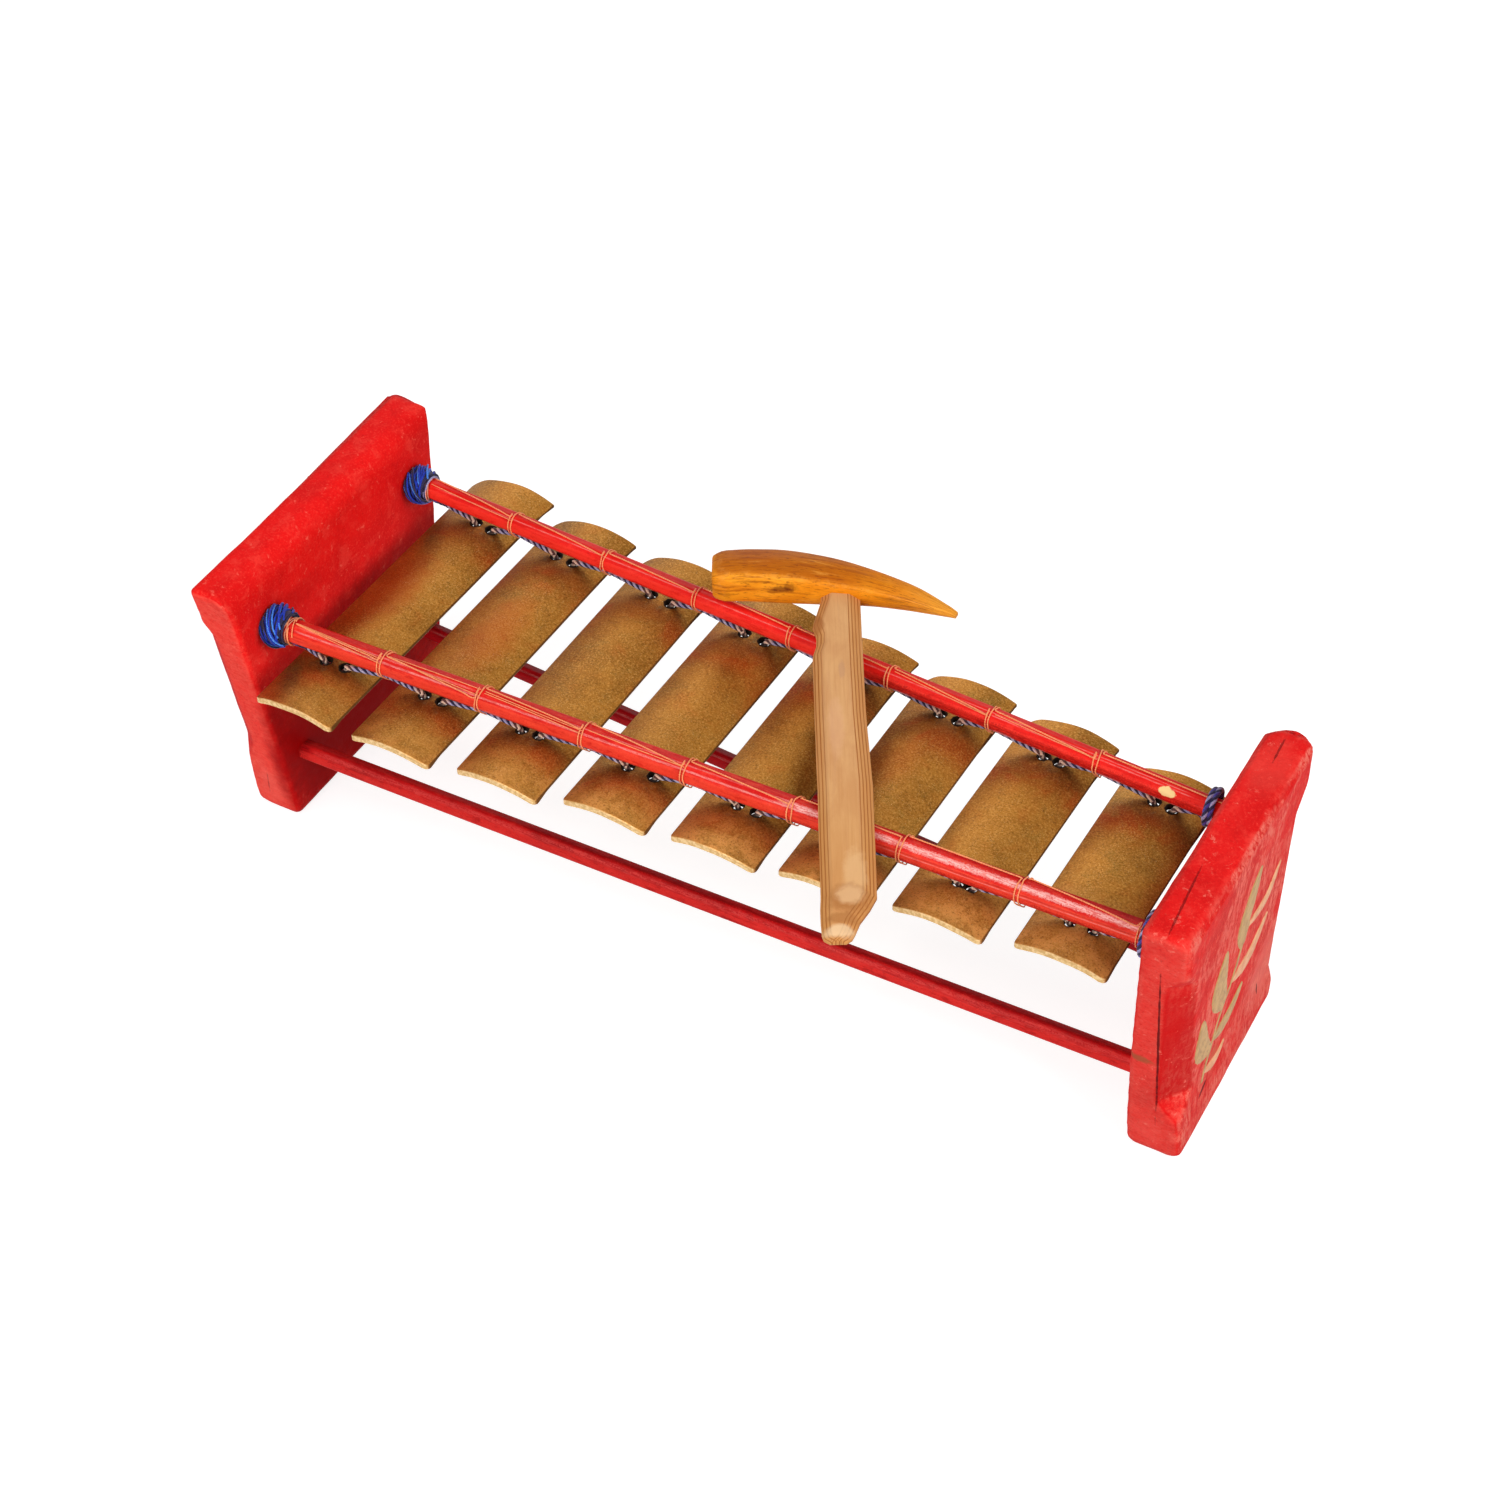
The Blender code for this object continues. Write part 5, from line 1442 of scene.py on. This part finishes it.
LEFT_PATCHES = (
    # Painted shade low on the inner face, under the bars
    ((-0.1915, 0.0000, 0.0360), (0.0060, 0.0640, 0.0420), srgb(168, 0, 3), 0.95),
    # A paler front foot: worn paint, and painted light for the light the floor throws up
    ((-0.2030, -0.0540, 0.0080), (0.0120, 0.0080, 0.0240), srgb(255, 112, 98), 0.75),
    ((-0.1915, -0.0200, 0.1080), (0.0060, 0.0240, 0.0050), srgb(196, 10, 12), 0.30),
    ((-0.1915, 0.0250, 0.1180), (0.0060, 0.0200, 0.0060), srgb(236, 16, 16), 0.30),
)
PAINT_LEFT = painted_wood(
    "left_board_paint", srgb(240, 22, 20), srgb(250, 68, 56), srgb(210, 12, 13), srgb(252, 100, 84),
    (-1, 0.5, 0.55, 0.20), LEFT_CRACKS, LEFT_PATCHES,
)
PAINT_RIGHT = painted_wood(
    "right_board_paint", srgb(228, 25, 23), srgb(240, 62, 52), srgb(194, 11, 13), srgb(240, 118, 102),
    (1, 1.0, 0.28, 0.30), RIGHT_CRACKS, RIGHT_PATCHES,
)
BARE_CANE = srgb(246, 212, 146)
# Painted shade and painted highlight tints for the rods' bands
SHADE_RED = srgb(142, 4, 8)
PAINTED_HIGHLIGHT = srgb(248, 192, 184)
FRONT_RED = lacquer(
    "front_rod_lacquer", srgb(222, 28, 26), srgb(186, 10, 12), srgb(238, 74, 50), BARE_CANE,
    (
        ((0.0975, -0.0440, 0.1060), (0.0050, 0.0012, 0.0010), srgb(222, 132, 84)),
        ((0.0935, -0.0440, 0.1075), (0.0030, 0.0010, 0.0008), srgb(222, 132, 84)),
        ((0.1395, -0.0415, 0.1075), (0.0016, 0.0012, 0.0010), srgb(222, 132, 84)),
        ((0.0510, -0.0430, 0.1120), (0.0022, 0.0010, 0.0008), srgb(250, 176, 150)),
    ),
    (
        # Dark bands: painted shade on the underside and upper back; pale bands: painted highlights, the widest a
        # painted reflection
        (0.0300, 0.1980, 118.0, 34.0, 0.90, SHADE_RED), (-0.1900, 0.0400, 128.0, 22.0, 0.70, SHADE_RED),
        (0.0500, 0.1980, -34.0, 36.0, 0.70, SHADE_RED), (0.0500, 0.1980, 62.0, 5.0, 0.50, SHADE_RED),
        (0.0380, 0.1900, 29.0, 19.0, 0.90, PAINTED_HIGHLIGHT), (-0.1800, 0.0600, 42.0, 7.0, 0.42, PAINTED_HIGHLIGHT),
        (-0.0600, 0.0600, 16.0, 5.0, 0.30, PAINTED_HIGHLIGHT), (-0.1780, -0.0900, 20.0, 6.0, 0.30, PAINTED_HIGHLIGHT),
        (0.0800, 0.1900, 72.0, 5.0, 0.30, PAINTED_HIGHLIGHT),
    ),
    0.22,
)
BACK_RED = lacquer(
    "back_rod_lacquer", srgb(230, 28, 22), srgb(200, 12, 10), srgb(240, 58, 44), BARE_CANE,
    (((0.1662, 0.0392, 0.1122), (0.0036, 0.0028, 0.0026), None), ((0.1440, 0.0398, 0.1126), (0.0022, 0.0008, 0.0008), None)),
    (
        # Painted shade on the lower half and underside, and thin painted highlight lines
        (0.0150, 0.1900, 96.0, 44.0, 0.80, SHADE_RED), (-0.1900, 0.0300, 122.0, 24.0, 0.70, SHADE_RED),
        (-0.1800, 0.1800, 30.0, 5.0, 0.28, PAINTED_HIGHLIGHT), (0.0700, 0.1780, 16.0, 4.0, 0.30, PAINTED_HIGHLIGHT),
    ),
    0.22,
)
LOWER_RED = lacquer(
    "lower_rod_lacquer", srgb(200, 14, 18), srgb(140, 4, 10), srgb(226, 52, 46), BARE_CANE,
    (),
    (
        # A paler top at the left and a pale band: painted highlights; a dark top: painted shade under the bars; a
        # near-black band at the left end: painted shadow
        (-0.1980, -0.0900, -10.0, 30.0, 0.60, srgb(206, 52, 50)), (-0.0900, 0.1980, 2.0, 24.0, 0.80, SHADE_RED),
        (-0.1880, 0.1950, 40.0, 20.0, 0.40, srgb(236, 92, 88)), (-0.1990, -0.1830, 0.0, 170.0, 0.95, srgb(100, 0, 4)),
    ),
    0.36,
)
# The back lower rod's lacquer painted darker all over: painted shade, as it lies under the bars, with a faint painted
# highlight line
SHADED_BACK_LOWER_RED = lacquer(
    "back_lower_rod_shaded_lacquer", srgb(150, 6, 14), srgb(96, 2, 8), srgb(176, 22, 28), BARE_CANE,
    (), ((-0.1880, 0.1950, 40.0, 10.0, 0.15, PAINTED_HIGHLIGHT),), 0.30,
)
BRONZE = bronze("bar_bronze")
BLEACHED = srgb(232, 192, 158)
NAVY = yarn("navy_yarn", srgb(8, 8, 30), srgb(26, 22, 62), srgb(70, 64, 120), 0.25, srgb(96, 56, 44))
VIOLET = yarn("violet_yarn", srgb(30, 24, 84), srgb(70, 60, 150), srgb(128, 120, 200))
GREY = yarn("lavender_yarn", srgb(96, 92, 136), srgb(160, 154, 196), srgb(214, 210, 236), 0.25, BLEACHED)
CREAM = yarn("pale_yarn", srgb(122, 118, 164), srgb(184, 178, 206), srgb(236, 226, 226), 0.25, BLEACHED)
BLUE = yarn("blue_yarn", srgb(2, 8, 70), srgb(6, 46, 176), srgb(44, 116, 236))
LIGHT_BLUE = yarn("light_blue_yarn", srgb(16, 66, 180), srgb(60, 132, 232), srgb(150, 200, 250))
ORANGE = yarn("orange_thread", srgb(214, 104, 60), srgb(248, 152, 98), srgb(255, 200, 152), 0.1)
PALE_THREAD = yarn("pale_thread", srgb(150, 84, 62), srgb(206, 136, 104), srgb(240, 188, 156), 0.1)
HEAD_WOOD = varnished_wood("mallet_head_wood")
CANE = cane("mallet_cane")
GOLD = gilt("gold_leaf_paint", srgb(178, 132, 70), srgb(200, 156, 92), srgb(140, 100, 52))
PEACH = gilt("peach_leaf_paint", srgb(222, 146, 96), srgb(236, 172, 124), srgb(200, 110, 70))


# The setting
def seen_rays(tree):
    """1 for the rays that see the surroundings: from the camera, by reflection and through glass."""
    path = tree.nodes.new("ShaderNodeLightPath")
    result = path.outputs["Is Camera Ray"]
    for kind in ("Is Glossy Ray", "Is Transmission Ray"):
        either = tree.nodes.new("ShaderNodeMath")
        either.operation = "MAXIMUM"
        tree.links.new(result, either.inputs[0])
        tree.links.new(path.outputs[kind], either.inputs[1])
        result = either.outputs[0]
    return result


def build_setting():
    camera = bpy.data.cameras.new("camera")
    camera.lens = CAMERA_LENS
    camera.sensor_width = 36.0
    camera.clip_end = 50.0
    holder = bpy.data.objects.new("camera", camera)
    holder.location = CAMERA_PLACE
    holder.rotation_euler = [math.radians(angle) for angle in CAMERA_TURN]
    bpy.context.scene.collection.objects.link(holder)
    bpy.context.scene.camera = holder
    skin = bmesh.new()
    bmesh.ops.create_grid(skin, x_segments=2, y_segments=2, size=12.0)
    floor = bpy.data.objects.new("floor", from_bmesh("floor", skin))
    bpy.context.scene.collection.objects.link(floor)
    shade = bpy.data.materials.new("floor_white")
    shade.use_nodes = True
    tree = shade.node_tree
    tree.nodes.clear()
    out = tree.nodes.new("ShaderNodeOutputMaterial")
    diffuse = tree.nodes.new("ShaderNodeBsdfDiffuse")
    diffuse.inputs["Color"].default_value = (0.42, 0.42, 0.42, 1)
    glow = tree.nodes.new("ShaderNodeEmission")
    scale = tree.nodes.new("ShaderNodeMath")
    scale.operation = "MULTIPLY"
    scale.inputs[1].default_value = 0.79
    tree.links.new(seen_rays(tree), scale.inputs[0])
    tree.links.new(scale.outputs[0], glow.inputs["Strength"])
    both = tree.nodes.new("ShaderNodeAddShader")
    tree.links.new(diffuse.outputs[0], both.inputs[0])
    tree.links.new(glow.outputs[0], both.inputs[1])
    tree.links.new(both.outputs[0], out.inputs[0])
    floor.data.materials.append(shade)
    world = bpy.data.worlds.new("studio")
    bpy.context.scene.world = world
    world.use_nodes = True
    sky = world.node_tree.nodes["Background"]
    sky.inputs["Color"].default_value = (1.0, 1.0, 1.0, 1)
    level = world.node_tree.nodes.new("ShaderNodeMapRange")
    world.node_tree.links.new(seen_rays(world.node_tree), level.inputs[0])
    level.inputs[3].default_value = 0.24
    level.inputs[4].default_value = 1.0
    world.node_tree.links.new(level.outputs[0], sky.inputs["Strength"])
    lamps = (
        ("key_lamp", (-0.50, -0.60, 1.28), 0.9, 4.4),
        ("right_lamp", (1.28, -0.20, 1.02), 0.9, 16.0),
        ("front_lamp", (0.00, -1.50, 0.62), 0.9, 14.5),
        ("back_lamp", (-0.60, 1.25, 0.75), 0.9, 4.5),
    )
    for name, place, size, power in lamps:
        lamp = bpy.data.lights.new(name, "AREA")
        lamp.shape = "SQUARE"
        lamp.size = size
        lamp.energy = power
        lamp_object = bpy.data.objects.new(name, lamp)
        lamp_object.location = place
        lamp_object.rotation_euler = (Vector((0, 0, 0.08)) - Vector(place)).to_track_quat("-Z", "Y").to_euler()
        bpy.context.scene.collection.objects.link(lamp_object)
    view = bpy.context.scene.view_settings
    view.view_transform = "Standard"


build_setting()
build_board("left_end_board", PAINT_LEFT)
build_spray(build_board("right_end_board", PAINT_RIGHT))
ROD_PAINTS = {"front_upper_rod": FRONT_RED, "back_upper_rod": BACK_RED, "back_lower_rod": SHADED_BACK_LOWER_RED}
for seed, rod in enumerate(RODS):
    build_rod(rod, ROD_PAINTS.get(rod, LOWER_RED), seed)
for index in range(8):
    build_bar(index)
for place in ("front", "back"):
    build_bundle(place)
    build_cord(place)
    build_thread(place)
build_handle()
build_head()
